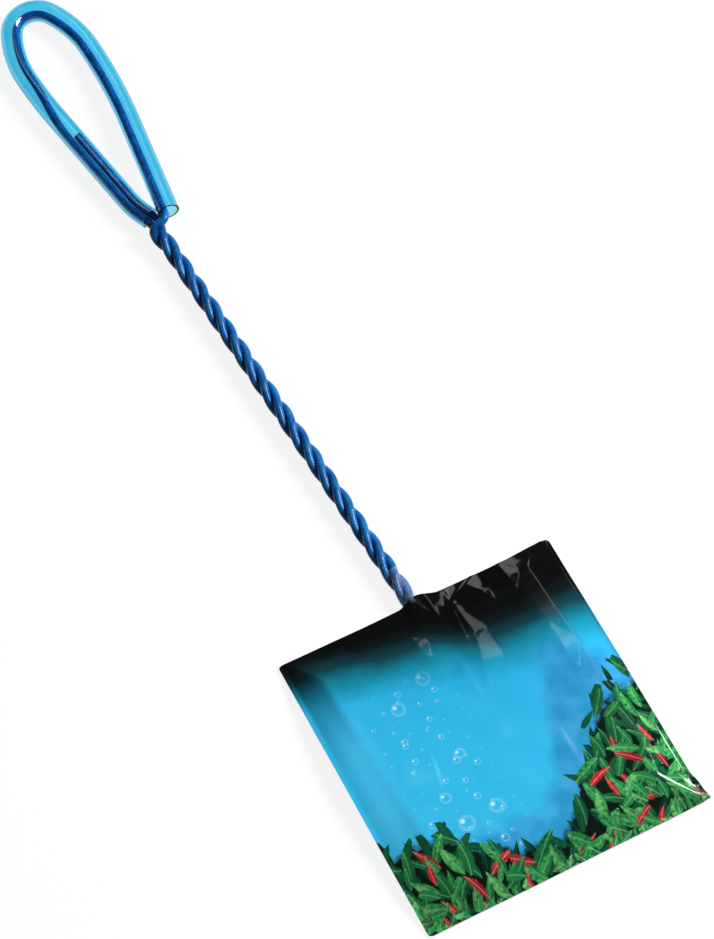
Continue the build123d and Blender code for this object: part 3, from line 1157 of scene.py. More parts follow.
def sweep_section(section: bpy.types.Object, path: Sequence[Run | Turn]) -> None:
    """Draw a closed section along straight runs and turns.

    Args:
        section: An object whose mesh is one ring of edges, at the path's start.
        path: The steps to follow.
    """
    make_active(section)
    bpy.ops.object.mode_set(mode="EDIT")
    bpy.ops.mesh.select_mode(type="EDGE")
    bpy.ops.mesh.select_all(action="SELECT")
    for step in path:
        if isinstance(step, Run):
            move = (step.way[0] * MM / step.steps, step.way[1] * MM / step.steps, 0.0)
            for _ in range(step.steps):
                bpy.ops.mesh.extrude_edges_move(TRANSFORM_OT_translate={"value": move})
        else:
            centre = (step.centre[0] * MM, step.centre[1] * MM, 0.0)
            # The spin operator turns clockwise for a positive angle.
            angle = -math.radians(step.degrees)
            bpy.ops.mesh.spin(steps=step.steps, angle=angle, center=centre, axis=(0.0, 0.0, 1.0))
    bpy.ops.object.mode_set(mode="OBJECT")


def cap_ends(piece: bpy.types.Object) -> None:
    """Fill the open ends of a swept piece.

    Args:
        piece: The object to close.
    """
    make_active(piece)
    bpy.ops.object.mode_set(mode="EDIT")
    bpy.ops.mesh.select_all(action="SELECT")
    bpy.ops.mesh.fill_holes(sides=0)
    bpy.ops.object.mode_set(mode="OBJECT")


@dataclass
class NetHead:
    """The sewn pocket on the wire hoop: hem, two mesh panels, seam and stitches."""

    net: NetFrame
    binding_material: bpy.types.Material
    mesh_material: bpy.types.Material
    thread_material: bpy.types.Material
    hoop_width: float = 72.0
    hoop_height: float = 56.0
    hoop_corner: float = 9.0
    hem_start: float = 8.845
    hem_radius: float = 1.925
    hem_wall: float = 0.38
    hem_tail: float = 5.0
    hem_tail_height: float = 0.4
    sleeve_pucker: float = 0.09
    tail_pucker: float = 0.05
    mesh_half_width: float = 35.5
    mesh_top: float = 0.5
    pocket_end: float = -76.0
    pocket_taper: float = 4.5
    lower_start: float = -57.98
    upper_level: float = 2.29
    lower_level: float = 0.0
    thread_pitch: float = 1.4
    thread_radius: float = 0.19
    thread_wave: float = 0.14
    pocket_sag: float = 0.9
    seam_width: float = 1.8
    seam_floor: float = -0.3
    seam_top: float = 2.475
    seam_corner: float = 4.0
    seam_shift: float = 0.95
    seam_gap: float = 0.4
    seam_core_inset: float = 0.5
    loop_inset: float = 0.3
    loop_stretch: float = 1.6
    loop_pitch: float = 1.0
    loop_radius: float = 0.11
    loop_lean_degrees: float = 14.0
    stitch_length: float = 2.2
    stitch_width: float = 0.52
    stitch_height: float = 0.42
    stitch_dip: float = 0.22
    stitch_sway: float = 0.06
    stitch_lean_radians: float = 0.09
    stitch_pitch: float = 3.6
    stitch_inset: float = 3.4
    stitch_level: float = 2.5

    def build(self) -> None:
        """Build every piece of the head."""
        hem = self.hem()
        upper = self.panel("upper_mesh_net", self.mesh_top, self.upper_level, ["upper_mesh"])
        lower = self.panel("lower_mesh_net", self.lower_start, self.lower_level, ["lower_mesh"])
        self.seam()
        self.stitches()

    def _hoop_path(self) -> list[Run | Turn]:
        """The way round the hoop from the neck's right side to its left.

        Returns:
            The steps of the sweep.
        """
        flat = self.hoop_width / 2 - self.hoop_corner
        low = -self.hoop_height + self.hoop_corner
        near = flat - self.hem_start
        tall = self.hoop_height - 2 * self.hoop_corner
        corner = self.hoop_corner
        return [
            Run((near, 0.0), 12),
            Turn((flat, -corner), -90.0, 12),
            Run((0.0, -tall), 24),
            Turn((flat, low), -90.0, 12),
            Run((-2 * flat, 0.0), 34),
            Turn((-flat, low), -90.0, 12),
            Run((0.0, tall), 24),
            Turn((-flat, -corner), -90.0, 12),
            Run((near, 0.0), 12),
        ]

    def hem(self) -> bpy.types.Object:
        """Build the fabric sleeve round the hoop wire and its flat tail.

        Returns:
            The finished hem.
        """
        deselect_all()
        bpy.ops.mesh.primitive_circle_add(
            vertices=20,
            radius=self.hem_radius * MM,
            location=(self.hem_start * MM, 0.0, 0.0),
            rotation=(0.0, math.pi / 2, 0.0),
        )
        sleeve = bpy.context.object
        settle(sleeve)
        sweep_section(sleeve, self._hoop_path())
        merge_and_face_out(sleeve)
        self._pucker(sleeve, self.sleeve_pucker)
        add_modifier(sleeve, "SOLIDIFY", thickness=self.hem_wall * MM, offset=-1.0)
        bpy.ops.mesh.primitive_plane_add(size=1.0)
        tail = bpy.context.object
        level = self.hem_radius - self.hem_tail_height / 2
        tail.dimensions = (self.hem_tail_height * MM, self.hem_tail * MM, 0.0)
        tail.rotation_euler = (0.0, math.pi / 2, 0.0)
        tail.location = Vector((self.hem_start, -self.hem_tail / 2, level)) * MM
        settle(tail)
        make_active(tail)
        bpy.ops.object.mode_set(mode="EDIT")
        bpy.ops.mesh.select_all(action="SELECT")
        bpy.ops.mesh.delete(type="ONLY_FACE")
        bpy.ops.object.mode_set(mode="OBJECT")
        sweep_section(tail, self._hoop_path())
        cap_ends(tail)
        merge_and_face_out(tail)
        self._pucker(tail, self.tail_pucker)
        whole = join([sleeve, tail])
        smooth_by_angle(whole, 50.0)
        self.net.place(whole)
        return hand_over(
            whole, "hem_sleeve", self.binding_material, Body.NET, ["hoop_binding"]
        )

    def _pucker(self, piece: bpy.types.Object, amount: float) -> None:
        """Ripple a swept piece slightly between its stitches.

        Args:
            piece: The object to ripple.
            amount: How far its points move at most.
        """
        points = points_of(piece)
        wave = np.sin(points[:, 0] * 1.75 + points[:, 1] * 1.75)
        slow = np.sin(points[:, 0] * 0.31 + points[:, 1] * 0.23 + 0.8)
        points[:, 2] += amount * (0.6 * wave + 0.4 * slow) * np.sign(points[:, 2] + 1e-6)
        move_points(piece, points)

    def half_width_at(self, levels: np.ndarray) -> np.ndarray:
        """Half the pocket's width: round at the hoop's shoulders, narrow past the far bar.

        Args:
            levels: Places along the net.

        Returns:
            The half widths there.
        """
        past = np.clip(-self.hoop_height - levels, 0.0, None)
        rise = np.clip(levels + self.hoop_corner, 0.0, self.hoop_corner)
        round_off = self.hoop_corner - np.sqrt(self.hoop_corner**2 - rise**2)
        narrow = self.pocket_taper * past / (-self.hoop_height - self.pocket_end)
        return self.mesh_half_width - round_off - narrow

    def _thread(self, length: float, cuts: int, turned: bool) -> bpy.types.Object:
        """Model one straight thread of the mesh.

        Args:
            length: The thread's length.
            cuts: How many times it is cut along its length.
            turned: Whether it runs along Y and not along X.

        Returns:
            The thread's object, with its middle at the origin.
        """
        deselect_all()
        bpy.ops.mesh.primitive_cylinder_add(
            vertices=6,
            radius=self.thread_radius * MM,
            depth=length * MM,
            rotation=(math.pi / 2, 0.0, 0.0) if turned else (0.0, math.pi / 2, 0.0),
        )
        thread = bpy.context.object
        settle(thread)
        cut_along(thread, 1 if turned else 0, length, cuts)
        return thread

    def _thread_set(self, length: float, count: int, turned: bool) -> bpy.types.Object:
        """Lay a row of waved threads side by side, centred on the origin.

        Args:
            length: Each thread's length.
            count: How many threads the row has.
            turned: Whether they run along Y.

        Returns:
            One object with the whole row.
        """
        pitch = self.thread_pitch
        cuts = 2 * round(length / pitch) - 1
        axis = 1 if turned else 0
        rows = []
        for odd in (0, 1):
            thread = self._thread(length, cuts, turned)
            points = points_of(thread)
            phase = math.pi * (odd + (1 if turned else 0))
            wave = np.cos(math.pi * (points[:, axis] + length / 2) / pitch + phase)
            points[:, 2] += self.thread_wave * wave
            points[:, 1 - axis] += (odd - (count - 1) / 2) * pitch
            move_points(thread, points)
            offset = [0.0, 0.0, 0.0]
            offset[1 - axis] = 2 * pitch * MM
            add_modifier(
                thread,
                "ARRAY",
                count=(count + 1 - odd) // 2,
                use_relative_offset=False,
                use_constant_offset=True,
                constant_offset_displace=offset,
            )
            rows.append(thread)
        return join(rows)

    def panel(self, name: str, top: float, level: float, nodes: Sequence[str]) -> bpy.types.Object:
        """Weave one mesh panel from its top edge to the pocket's end.

        Args:
            name: The piece's name.
            top: The level of its top edge along the net.
            level: Its height over the wire's middle.
            nodes: The CAD nodes it stands for.

        Returns:
            The finished panel.
        """
        pitch = self.thread_pitch
        tall = top - self.pocket_end
        across = 2 * round(self.mesh_half_width / pitch)
        along = round(tall / pitch)
        wefts = self._thread_set(across * pitch, along + 1, False)
        warps = self._thread_set(along * pitch, across + 1, True)
        whole = join([wefts, warps])
        points = points_of(whole)
        points[:, 1] = (points[:, 1] / (along * pitch) + 0.5) * tall + self.pocket_end
        share = points[:, 0] / (across * pitch / 2)
        points[:, 0] = share * self.half_width_at(points[:, 1])
        inside = 1.0 - ((points[:, 1] + self.hoop_height / 2) / (self.hoop_height / 2)) ** 2
        slack = self.pocket_sag * np.clip(inside, 0.0, 1.0) * np.clip(1.0 - share**2, 0.0, 1.0)
        points[:, 2] += level - (slack if top > -self.hoop_height else 0.0)
        move_points(whole, points)
        smooth_by_angle(whole, 75.0)
        self.net.place(whole)
        return hand_over(whole, name, self.mesh_material, Body.NET, nodes)

    def _seam_path(self) -> tuple[Point, float, list[Run | Turn]]:
        """The way round the pocket's end.

        Returns:
            The start, the start's heading in degrees and the steps.
        """
        start = -self.hoop_height - self.hem_radius - self.seam_gap
        levels = np.array([start, self.pocket_end])
        halves = self.half_width_at(levels) + self.seam_shift
        end = self.pocket_end - self.seam_shift
        first = Vector((halves[1] - halves[0], end - start))
        heading = math.degrees(math.atan2(first.y, first.x))
        bend = 180.0 + heading
        trim = self.seam_corner * math.tan(math.radians(bend) / 2)
        way = first.normalized()
        leg = way * (first.length - trim)
        inward = Vector((way.y, -way.x))
        corner = Vector((halves[0], start)) + leg + inward * self.seam_corner
        flat = 2 * (halves[1] - trim)
        steps = [
            Run((leg.x, leg.y), 12),
            Turn((corner.x, corner.y), -bend, 8),
            Run((-flat, 0.0), 40),
            Turn((-corner.x, corner.y), -bend, 8),
            Run((leg.x, -leg.y), 12),
        ]
        return (float(halves[0]), start), heading, steps

    def seam(self) -> None:
        """Build the overlocked seam: a taped core and the thread loops round it."""
        start, heading, steps = self._seam_path()
        middle = (self.seam_floor + self.seam_top) / 2
        tall = self.seam_top - self.seam_floor
        deselect_all()
        bpy.ops.mesh.primitive_circle_add(vertices=12, radius=0.5 * MM)
        core = bpy.context.object
        core.scale = (tall - self.seam_core_inset, self.seam_width - self.seam_core_inset, 1.0)
        core.rotation_euler = (0.0, math.pi / 2, math.radians(heading))
        core.location = Vector((start[0], start[1], middle)) * MM
        settle(core)
        sweep_section(core, steps)
        cap_ends(core)
        merge_and_face_out(core)
        bpy.ops.mesh.primitive_torus_add(
            major_segments=16,
            minor_segments=6,
            major_radius=0.5 * MM,
            minor_radius=self.loop_radius * MM,
        )
        loop = bpy.context.object
        loop.scale = (tall - self.loop_inset, self.seam_width - self.loop_inset, self.loop_stretch)
        loop.rotation_euler = (0.0, math.pi / 2, 0.0)
        settle(loop)
        places = []
        for place, angle in self._along(start, heading, steps, self.loop_pitch):
            turn = Matrix.Rotation(math.radians(angle + self.loop_lean_degrees), 4, "Z")
            places.append(Matrix.Translation(Vector((place[0], place[1], middle)) * MM) @ turn)
        loops = scatter(loop, places)
        whole = join([core, loops])
        smooth_by_angle(whole, 60.0)
        self.net.place(whole)
        hand_over(whole, "overlock_seam", self.thread_material, Body.NET, ["pocket_seam"])

    def _along(
        self, start: Point, heading: float, steps: Sequence[Run | Turn], pitch: float
    ) -> list[tuple[Point, float]]:
        """Space places evenly along a path.

        Args:
            start: Where the path starts.
            heading: The way it starts, in degrees.
            steps: The path's runs and turns.
            pitch: The space between places.

        Returns:
            Each place with the path's heading there.
        """
        places = []
        here = Vector(start)
        angle = heading
        for step in steps:
            if isinstance(step, Run):
                way = Vector(step.way)
                count = max(1, round(way.length / pitch))
                angle = math.degrees(math.atan2(way.y, way.x))
                for index in range(count):
                    spot = here + way * ((index + 0.5) / count)
                    places.append(((spot.x, spot.y), angle))
                here = here + way
            else:
                centre = Vector(step.centre)
                arm = here - centre
                count = max(1, round(arm.length * math.radians(abs(step.degrees)) / pitch))
                for index in range(count):
                    turn = math.radians(step.degrees) * (index + 0.5) / count
                    spot = centre + Matrix.Rotation(turn, 2) @ arm
                    places.append(((spot.x, spot.y), angle + math.degrees(turn)))
                here = centre + Matrix.Rotation(math.radians(step.degrees), 2) @ arm
                angle += step.degrees
        return places

    def stitches(self) -> None:
        """Build the rows of stitches that hold the mesh on the hem's tail."""
        deselect_all()
        bpy.ops.mesh.primitive_uv_sphere_add(segments=10, ring_count=8, radius=0.5 * MM)
        stitch = bpy.context.object
        stitch.scale = (self.stitch_length, self.stitch_width, self.stitch_height)
        settle(stitch)
        points = points_of(stitch)
        points[:, 2] -= self.stitch_dip * (points[:, 0] / (self.stitch_length / 2)) ** 4
        points[:, 1] += self.stitch_sway * np.sin(points[:, 0] * 4.0)
        move_points(stitch, points)
        side = self.hoop_width / 2 - self.stitch_inset
        near = -self.stitch_inset
        far = -self.hoop_height + self.stitch_inset
        corner = self.hoop_corner - self.stitch_inset
        rows = [
            ((-self.hem_start, near), (-side + corner, near)),
            ((-side, near - corner), (-side, far + corner)),
            ((-side + corner, far), (side - corner, far)),
            ((side, far + corner), (side, near - corner)),
            ((side - corner, near), (self.hem_start, near)),
        ]
        places = []
        for start, end in rows:
            run = Vector(end) - Vector(start)
            count = math.floor(run.length / self.stitch_pitch)
            angle = math.atan2(run.y, run.x)
            for index in range(count):
                spot = Vector(start) + run * ((index + 0.5) / count)
                shift = Matrix.Translation(Vector((spot.x, spot.y, self.stitch_level)) * MM)
                places.append(shift @ Matrix.Rotation(angle + self.stitch_lean_radians, 4, "Z"))
        whole = scatter(stitch, places)
        smooth_by_angle(whole, 80.0)
        self.net.place(whole)
        hand_over(whole, "hem_stitch_rows", self.thread_material, Body.NET, ["hem_stitches"])


@dataclass
class HandleBand:
    """Clear film wound round the handle where it leaves the bag."""

    net: NetFrame
    material: bpy.types.Material
    radius: float = 2.95
    wall: float = 0.08
    start: float = 8.3
    end: float = 22.0
    crumple: float = 0.07
    rim_length: float = 1.2
    rim_wave: float = 0.35
    cuts: int = 27

    def build(self) -> None:
        """Build the band as a crumpled sleeve."""
        tall = self.end - self.start
        deselect_all()
        bpy.ops.mesh.primitive_cylinder_add(
            vertices=48,
            radius=self.radius * MM,
            depth=tall * MM,
            end_fill_type="NOTHING",
            location=(0.0, (self.start + self.end) / 2 * MM, 0.0),
            rotation=(math.pi / 2, 0.0, 0.0),
        )
        band = bpy.context.object
        settle(band)
        cut_along(band, 1, tall, self.cuts)
        points = points_of(band)
        angle = np.arctan2(points[:, 2], points[:, 0])
        wave = np.sin(angle * 3 + points[:, 1] * 0.75) + 0.6 * np.sin(angle * 5 - points[:, 1] * 1.3 + 1.0)
        grow = 1.0 + self.crumple * (0.5 * wave) / self.radius
        points[:, 0] *= grow
        points[:, 2] *= grow
        rim = ease((points[:, 1] - self.end + self.rim_length) / self.rim_length)
        points[:, 1] += rim * self.rim_wave * np.sin(angle * 2 + 0.7)
        move_points(band, points)
        add_modifier(band, "SOLIDIFY", thickness=self.wall * MM, offset=0.0)
        smooth_by_angle(band, 60.0)
        self.net.place(band)
        hand_over(band, "clear_band", self.material, Body.NET, ["handle_band"])


@dataclass(frozen=True)
class Fold:
    """A crease in the film: a ridge line with one steep flank on its right.

    The flank's width is given at the ridge's start, middle and end, in millimetres. The other
    flank is wider by the factor of the field named back.
    """

    start: Point
    end: Point
    widths: tuple[float, float, float]
    slope: float = 0.1
    back: float = 2.0

    def height(self, x: np.ndarray, y: np.ndarray) -> np.ndarray:
        """Height that the fold adds at each place.

        Args:
            x: Places across the bag.
            y: Places along the bag.

        Returns:
            The added heights.
        """
        way_x = self.end[0] - self.start[0]
        way_y = self.end[1] - self.start[1]
        length = math.hypot(way_x, way_y)
        way_x /= length
        way_y /= length
        along = ((x - self.start[0]) * way_x + (y - self.start[1]) * way_y) / length
        across = (x - self.start[0]) * -way_y + (y - self.start[1]) * way_x
        side = across if way_y < 0 else -across
        first, middle, last = self.widths
        spread = np.where(
            along < 0.5,
            first + (middle - first) * ease(along * 2),
            middle + (last - middle) * ease(along * 2 - 1),
        )
        spread = np.maximum(spread, 0.05)
        ends = ease((along + 0.06) / 0.12) * ease((1.06 - along) / 0.12)
        rise = np.where(side > 0, 1 - side / spread, 1 + side / (spread * self.back))
        return self.slope * spread * np.clip(rise, 0.0, 1.0) * ends


def soft_min(first: np.ndarray, second: np.ndarray, blend: float) -> np.ndarray:
    """Take the lower of two heights, rounded where they meet.

    Args:
        first: The first heights.
        second: The second heights.
        blend: How near the heights are where the rounding starts.

    Returns:
        The lower heights.
    """
    share = np.clip(0.5 + 0.5 * (second - first) / blend, 0.0, 1.0)
    return second + (first - second) * share - blend * share * (1.0 - share)


def bell(values: np.ndarray, middle: float, spread: float) -> np.ndarray:
    """Bell curve that is 1 at its middle."""
    return np.exp(-(((values - middle) / spread) ** 2))


@dataclass
class FilmBag:
    """The heat-sealed film bag: printed front and plain back, open at the handle's end."""

    net: NetFrame
    front_material: bpy.types.Material
    back_material: bpy.types.Material
    mouth: float = 49.75
    foot: float = -49.75
    mouth_half_width: float = 46.35
    foot_half_width: float = 47.85
    kink_level: float = -41.0
    kink_half_width: float = 46.45
    corner_radius: float = 2.2
    mouth_corners: Point = (0.55, 1.0)
    foot_corners: Point = (0.6, 0.15)
    film: float = 0.12
    seal: float = 1.5
    rim_level: float = 0.75
    left_lift: float = 4.0
    right_lift: float = 2.6
    lift_reach: float = 47.0
    edge_bow: float = 0.2
    mouth_level: float = 4.0
    mouth_hollow: float = 2.0
    hollow_start: float = 30.0
    hollow_run: float = 20.0
    gape_half_width: float = 45.5
    ride_start: float = -6.0
    ride_rise: float = 3.6
    ride_end: float = 2.6
    ride_fall: float = 10.4
    bulge_place: float = 29.0
    bulge_spread: float = 7.0
    bulge_depth: float = 0.7
    bulge_rise: float = 1.3
    handle_top: float = 6.65
    head_top: float = 6.55
    head_half_width: float = 36.0
    head_near: float = 0.4
    bar_level: float = -58.0
    pocket_half_width: float = 32.3
    pocket_level: float = -77.2
    shoulder: float = 0.02
    left_shoulder: float = 0.16
    blend: float = 0.5
    dish_depth: float = 0.3
    dish_middle: float = -28.0
    dish_half_width: float = 31.0
    dish_half_length: float = 25.0
    back_rest: float = 0.24
    back_wave: float = 0.07
    back_run: float = 8.0
    film_gap: float = 0.04
    floor_gap: float = 0.05
    columns: int = 200
    rows: int = 208

    def folds(self) -> list[Fold]:
        """The creases of the front film.

        Returns:
            The folds, roughly from the mouth down.
        """
        return [
            Fold((15.6, 46.4), (21.4, 36.4), (5.6, 2.8, 0.2), 0.13),
            Fold((27.4, 47.4), (28.6, 36.8), (2.8, 4.2, 0.3), 0.13),
            Fold((8.5, 46.0), (6.7, 27.0), (0.5, 1.0, 1.3), 0.1),
            Fold((8.8, 46.0), (10.2, 28.6), (0.6, 1.6, 4.2), 0.1),
            Fold((10.1, 28.7), (6.0, 12.5), (4.2, 6.6, 1.5), 0.1),
            Fold((-8.4, 38.6), (-5.4, 28.5), (0.6, 3.4, 1.0)),
            Fold((-1.3, 47.4), (2.1, 41.2), (0.5, 0.9, 0.5)),
            Fold((3.4, 47.4), (3.4, 38.9), (0.4, 0.8, 0.4)),
            Fold((31.2, 21.4), (32.4, 4.6), (1.2, 5.0, 1.0), 0.08),
            Fold((1.4, 24.2), (2.2, 10.2), (1.0, 3.2, 0.6), 0.08),
            Fold((-20.0, 4.0), (-24.0, -14.0), (0.3, 1.6, 0.3), 0.05),
            Fold((18.0, -8.0), (16.0, -30.0), (0.4, 2.2, 0.4), 0.05),
        ]

    def _halves(self, y: np.ndarray) -> tuple[np.ndarray, np.ndarray]:
        """The bag's half widths at each level.

        Args:
            y: Places along the bag.

        Returns:
            The half widths on the left and on the right.
        """
        share = (y - self.foot) / (self.mouth - self.foot)
        left = self.foot_half_width + (self.mouth_half_width - self.foot_half_width) * share
        above = np.clip((y - self.kink_level) / (self.mouth - self.kink_level), 0.0, 1.0)
        right = self.kink_half_width + (self.mouth_half_width - self.kink_half_width) * above
        flare = np.clip((self.kink_level - y) / (self.kink_level - self.foot), 0.0, 1.0)
        right = right + (self.foot_half_width - self.kink_half_width) * flare**0.8
        bow = self.edge_bow * self._mid_side(y)
        return left + bow * self.left_lift, right - bow * self.right_lift

    def _mid_side(self, y: np.ndarray) -> np.ndarray:
        """Share that is 1 at the middle of a side and 0 at its ends."""
        return np.clip(1.0 - (y / self.lift_reach) ** 2, 0.0, 1.0)

    def _sealed_edge(self, x: np.ndarray, y: np.ndarray) -> np.ndarray:
        """Half width inside the seal, on the side that each place is on."""
        left, right = self._halves(y)
        return np.where(x < 0, left, right) - self.seal

    def _hollow(self, x: np.ndarray) -> np.ndarray:
        """How far the mouth's edge lies back from the corners.

        Args:
            x: Places across the bag.

        Returns:
            The distances back.
        """
        sweep = self.mouth_hollow * np.clip(1.0 - (x / self.mouth_half_width) ** 4, 0.0, 1.0)
        bulge = self.bulge_depth * bell(x, self.bulge_place, self.bulge_spread)
        return sweep - 1.1 * bell(x, 0.4, 3.0) + 0.3 * bell(x, 7.2, 2.4) + bulge

    def _outline(self, share_x: np.ndarray, share_y: np.ndarray) -> tuple[np.ndarray, np.ndarray]:
        """Place the grid inside the bag's outline.

        Args:
            share_x: Shares across the bag, from -1 to 1.
            share_y: Shares along the bag, from 0 at the foot to 1 at the mouth.

        Returns:
            The places across and along the bag.
        """
        y = self.foot + share_y * (self.mouth - self.foot)
        left, right = self._halves(y)
        half = np.where(share_x < 0, left, right)
        ends = ((self.mouth_corners, self.mouth - y), (self.foot_corners, y - self.foot))
        for (left_share, right_share), inside in ends:
            radius = np.where(share_x < 0, left_share, right_share) * self.corner_radius
            near = np.clip(radius - inside, 0.0, radius)
            half = half - radius + np.sqrt(np.maximum(radius**2 - near**2, 0.0))
        x = share_x * half
        return x, y - self._hollow(x) * ease((y - self.hollow_start) / self.hollow_run)

    def _rim(self, x: np.ndarray, y: np.ndarray) -> np.ndarray:
        """Level of the sealed rim: the head lifts it at mid-side, and it curls a little.

        Args:
            x: Places across the bag.
            y: Places along the bag.

        Returns:
            The rim's levels.
        """
        lift = np.where(x < 0, self.left_lift, self.right_lift) * self._mid_side(y)
        wave = 0.14 * np.sin(y * 0.11 + 0.6) + 0.08 * np.sin(y * 0.27 + np.sign(x))
        side = ease((np.abs(x) - 25.0) / 18.0)
        tip = 0.7 * ease((x - 38.0) / 10.0) * ease((self.kink_level + 4.0 - y) / 8.0)
        return self.rim_level + (lift + wave) * side + 0.1 * np.sin(x * 0.13) * (1.0 - side) + tip

    def _tent(self, inside: np.ndarray, outside: np.ndarray, shoulder: np.ndarray | float) -> np.ndarray:
        """Share of the head's height where the film spans from the head to a held edge.

        Args:
            inside: Distances inside the held edge.
            outside: Distances outside the head.
            shoulder: How round the film lies on the head.

        Returns:
            The shares, with a rounded shoulder at the head.
        """
        held = np.maximum(inside, 0.0)
        share = held / np.maximum(held + np.maximum(outside, 0.0), 0.01)
        fall = np.hypot(1.0 - share, shoulder) - shoulder
        return 1.0 - fall / (np.hypot(1.0, shoulder) - shoulder)

    def _lip(self, x: np.ndarray, rim: np.ndarray) -> np.ndarray:
        """Level of the mouth's edge, which rides up over the handle.

        Args:
            x: Places across the bag.
            rim: The level of the sealed rim there.

        Returns:
            The levels: steep on the handle's left, slow on its right.
        """
        gape = np.clip(1.0 - (x / self.gape_half_width) ** 4, 0.0, 1.0)
        lip = rim + (self.mouth_level + 0.2 * np.sin(x * 0.16 + 0.8) - rim) * gape
        left = ease((x - self.ride_start) / self.ride_rise)
        right = np.clip(1.0 - (x - self.ride_end) / self.ride_fall, 0.0, 1.0) ** 1.6
        right = np.where(x < self.ride_end, 1.0, right)
        lip = lip + self.bulge_rise * bell(x, self.bulge_place, self.bulge_spread)
        return lip + (self.handle_top - lip) * left * right - 0.16 * bell(x, 1.2, 1.2)

    def front_level(self, x: np.ndarray, y: np.ndarray) -> np.ndarray:
        """Height of the front film at each place.

        Args:
            x: Places across the bag.
            y: Places along the bag.

        Returns:
            The heights of the film's upper face.
        """
        across, along = self.net.local(x, y)
        rim = self._rim(x, y)
        edge = self._sealed_edge(x, y)
        past = np.clip((self.bar_level - along) / (self.bar_level - self.pocket_level), 0.0, 1.0)
        head = self.head_half_width + (self.pocket_half_width - self.head_half_width) * past
        slack = 0.1 * np.sin(x * 0.075 + 0.4) * np.sin(y * 0.085 + 0.9)
        slack += 0.05 * np.sin(x * 0.21 - y * 0.13) + 0.025 * np.sin(x * 0.37 + y * 0.29 + 1.3)
        dish = np.clip(1.0 - (across / self.dish_half_width) ** 2, 0.0, 1.0)
        dish_along = (along - self.dish_middle) / self.dish_half_length
        dish = dish * np.clip(1.0 - dish_along**2, 0.0, 1.0)
        top = self.head_top + (slack + 0.06) * ease((37.0 - y) / 12.0) - self.dish_depth * dish
        shoulder = np.where(x < 0, self.left_shoulder, self.shoulder)
        sides = rim + (top - rim) * self._tent(edge - np.abs(x), np.abs(across) - head, shoulder)
        inside = y - self.foot - self.seal
        foot = rim + (top - rim) * self._tent(inside, self.pocket_level - along, self.shoulder)
        lip = self._lip(x, rim)
        mouth_line = self.mouth - self._hollow(x)
        mouth = lip + (top - lip) * self._tent(mouth_line - y, along - self.head_near, self.shoulder)
        level = soft_min(soft_min(sides, foot, self.blend), mouth, self.blend)
        crease = np.zeros_like(x)
        for fold in self.folds():
            crease = crease + fold.height(x, y)
        inner = np.clip((edge - np.abs(x)) / 2.0, 0.15, 1.0)
        return level + crease * inner + self._dog_ear(x, y)

    def _dog_ear(self, x: np.ndarray, y: np.ndarray) -> np.ndarray:
        """Crumple of the film at the foot's right corner."""
        near = ease((x - 41.0) / 5.0) * ease((self.kink_level + 3.5 - y) / 4.0)
        return near * 0.4 * np.sin((x * 0.8 + y) * 0.95)

    def back_level(self, x: np.ndarray, y: np.ndarray) -> np.ndarray:
        """Height of the back film at each place.

        Args:
            x: Places across the bag.
            y: Places along the bag.

        Returns:
            The heights of the film's upper face.
        """
        rim = self._rim(x, y)
        edge = self._sealed_edge(x, y)
        side = ease((edge - np.abs(x)) / self.back_run)
        end = ease((y - self.foot - self.seal) / self.back_run)
        rest = self.back_rest + self.back_wave * np.sin(x * 0.16 + 0.3) * np.sin(y * 0.14 + 1.1)
        level = rim - self.film - self.film_gap + (rest - rim) * side * end
        return np.maximum(level + self._dog_ear(x, y), self.film + self.floor_gap)

    def _crease_whitening_and_glint(self, x: np.ndarray, y: np.ndarray) -> np.ndarray:
        """Whitened lines where the foot's right corner is folded: partly crease wear, partly a painted
        highlight.

        Args:
            x: Places across the bag.
            y: Places along the bag.

        Returns:
            How white the film is there, from 0 to 1.
        """
        near = ease((x - 42.6) / 1.5) * ease((46.9 - x) / 0.6)
        first = np.abs(y - (-43.6 - 0.35 * (x - 44.0)))
        second = np.abs(y - (-46.2 - 0.5 * (x - 44.0)))
        lines = np.maximum(1 - first / 0.35, 0.8 * (1 - second / 0.3))
        return near * np.clip(lines, 0.0, 1.0)

    def _sheet(self, name: str, front: bool) -> bpy.types.Object:
        """Model one film from a flat grid.

        Args:
            name: The grid's name.
            front: Whether it is the front film.

        Returns:
            The film with its thickness.
        """
        deselect_all()
        bpy.ops.mesh.primitive_grid_add(
            x_subdivisions=self.columns, y_subdivisions=self.rows, size=2.0 * MM, calc_uvs=True
        )
        film = bpy.context.object
        film.name = name
        film.data.uv_layers[0].name = FILM_MAP
        shares = points_of(film)
        x, y = self._outline(shares[:, 0], (shares[:, 1] + 1.0) / 2)
        level = self.front_level(x, y) if front else self.back_level(x, y)
        move_points(film, np.stack([x, y, level], axis=1))
        # The whitened crease lines, partly a painted highlight, go on the film as a point attribute.
        marks = film.data.attributes.new(CREASE_WHITENING_AND_GLINT, "FLOAT", "POINT")
        marks.data.foreach_set("value", self._crease_whitening_and_glint(x, y).astype(np.float32))
        add_modifier(film, "SOLIDIFY", thickness=self.film * MM, offset=-1.0)
        smooth_by_angle(film, 60.0)
        return film

    def build(self) -> None:
        """Build both films."""
        back = self._sheet("bag_back_film", False)
        hand_over(back, "bag_back_film", self.back_material, Body.BAG, ["bag_back"])
        front = self._sheet("bag_front_film", True)
        hand_over(front, "bag_front_film", self.front_material, Body.BAG, ["bag_front"])


@dataclass(frozen=True)
class Softbox:
    """One rectangular studio lamp, aimed at the part's middle."""

    name: str
    azimuth: float
    elevation: float
    distance: float
    width: float
    height: float
    watts: float


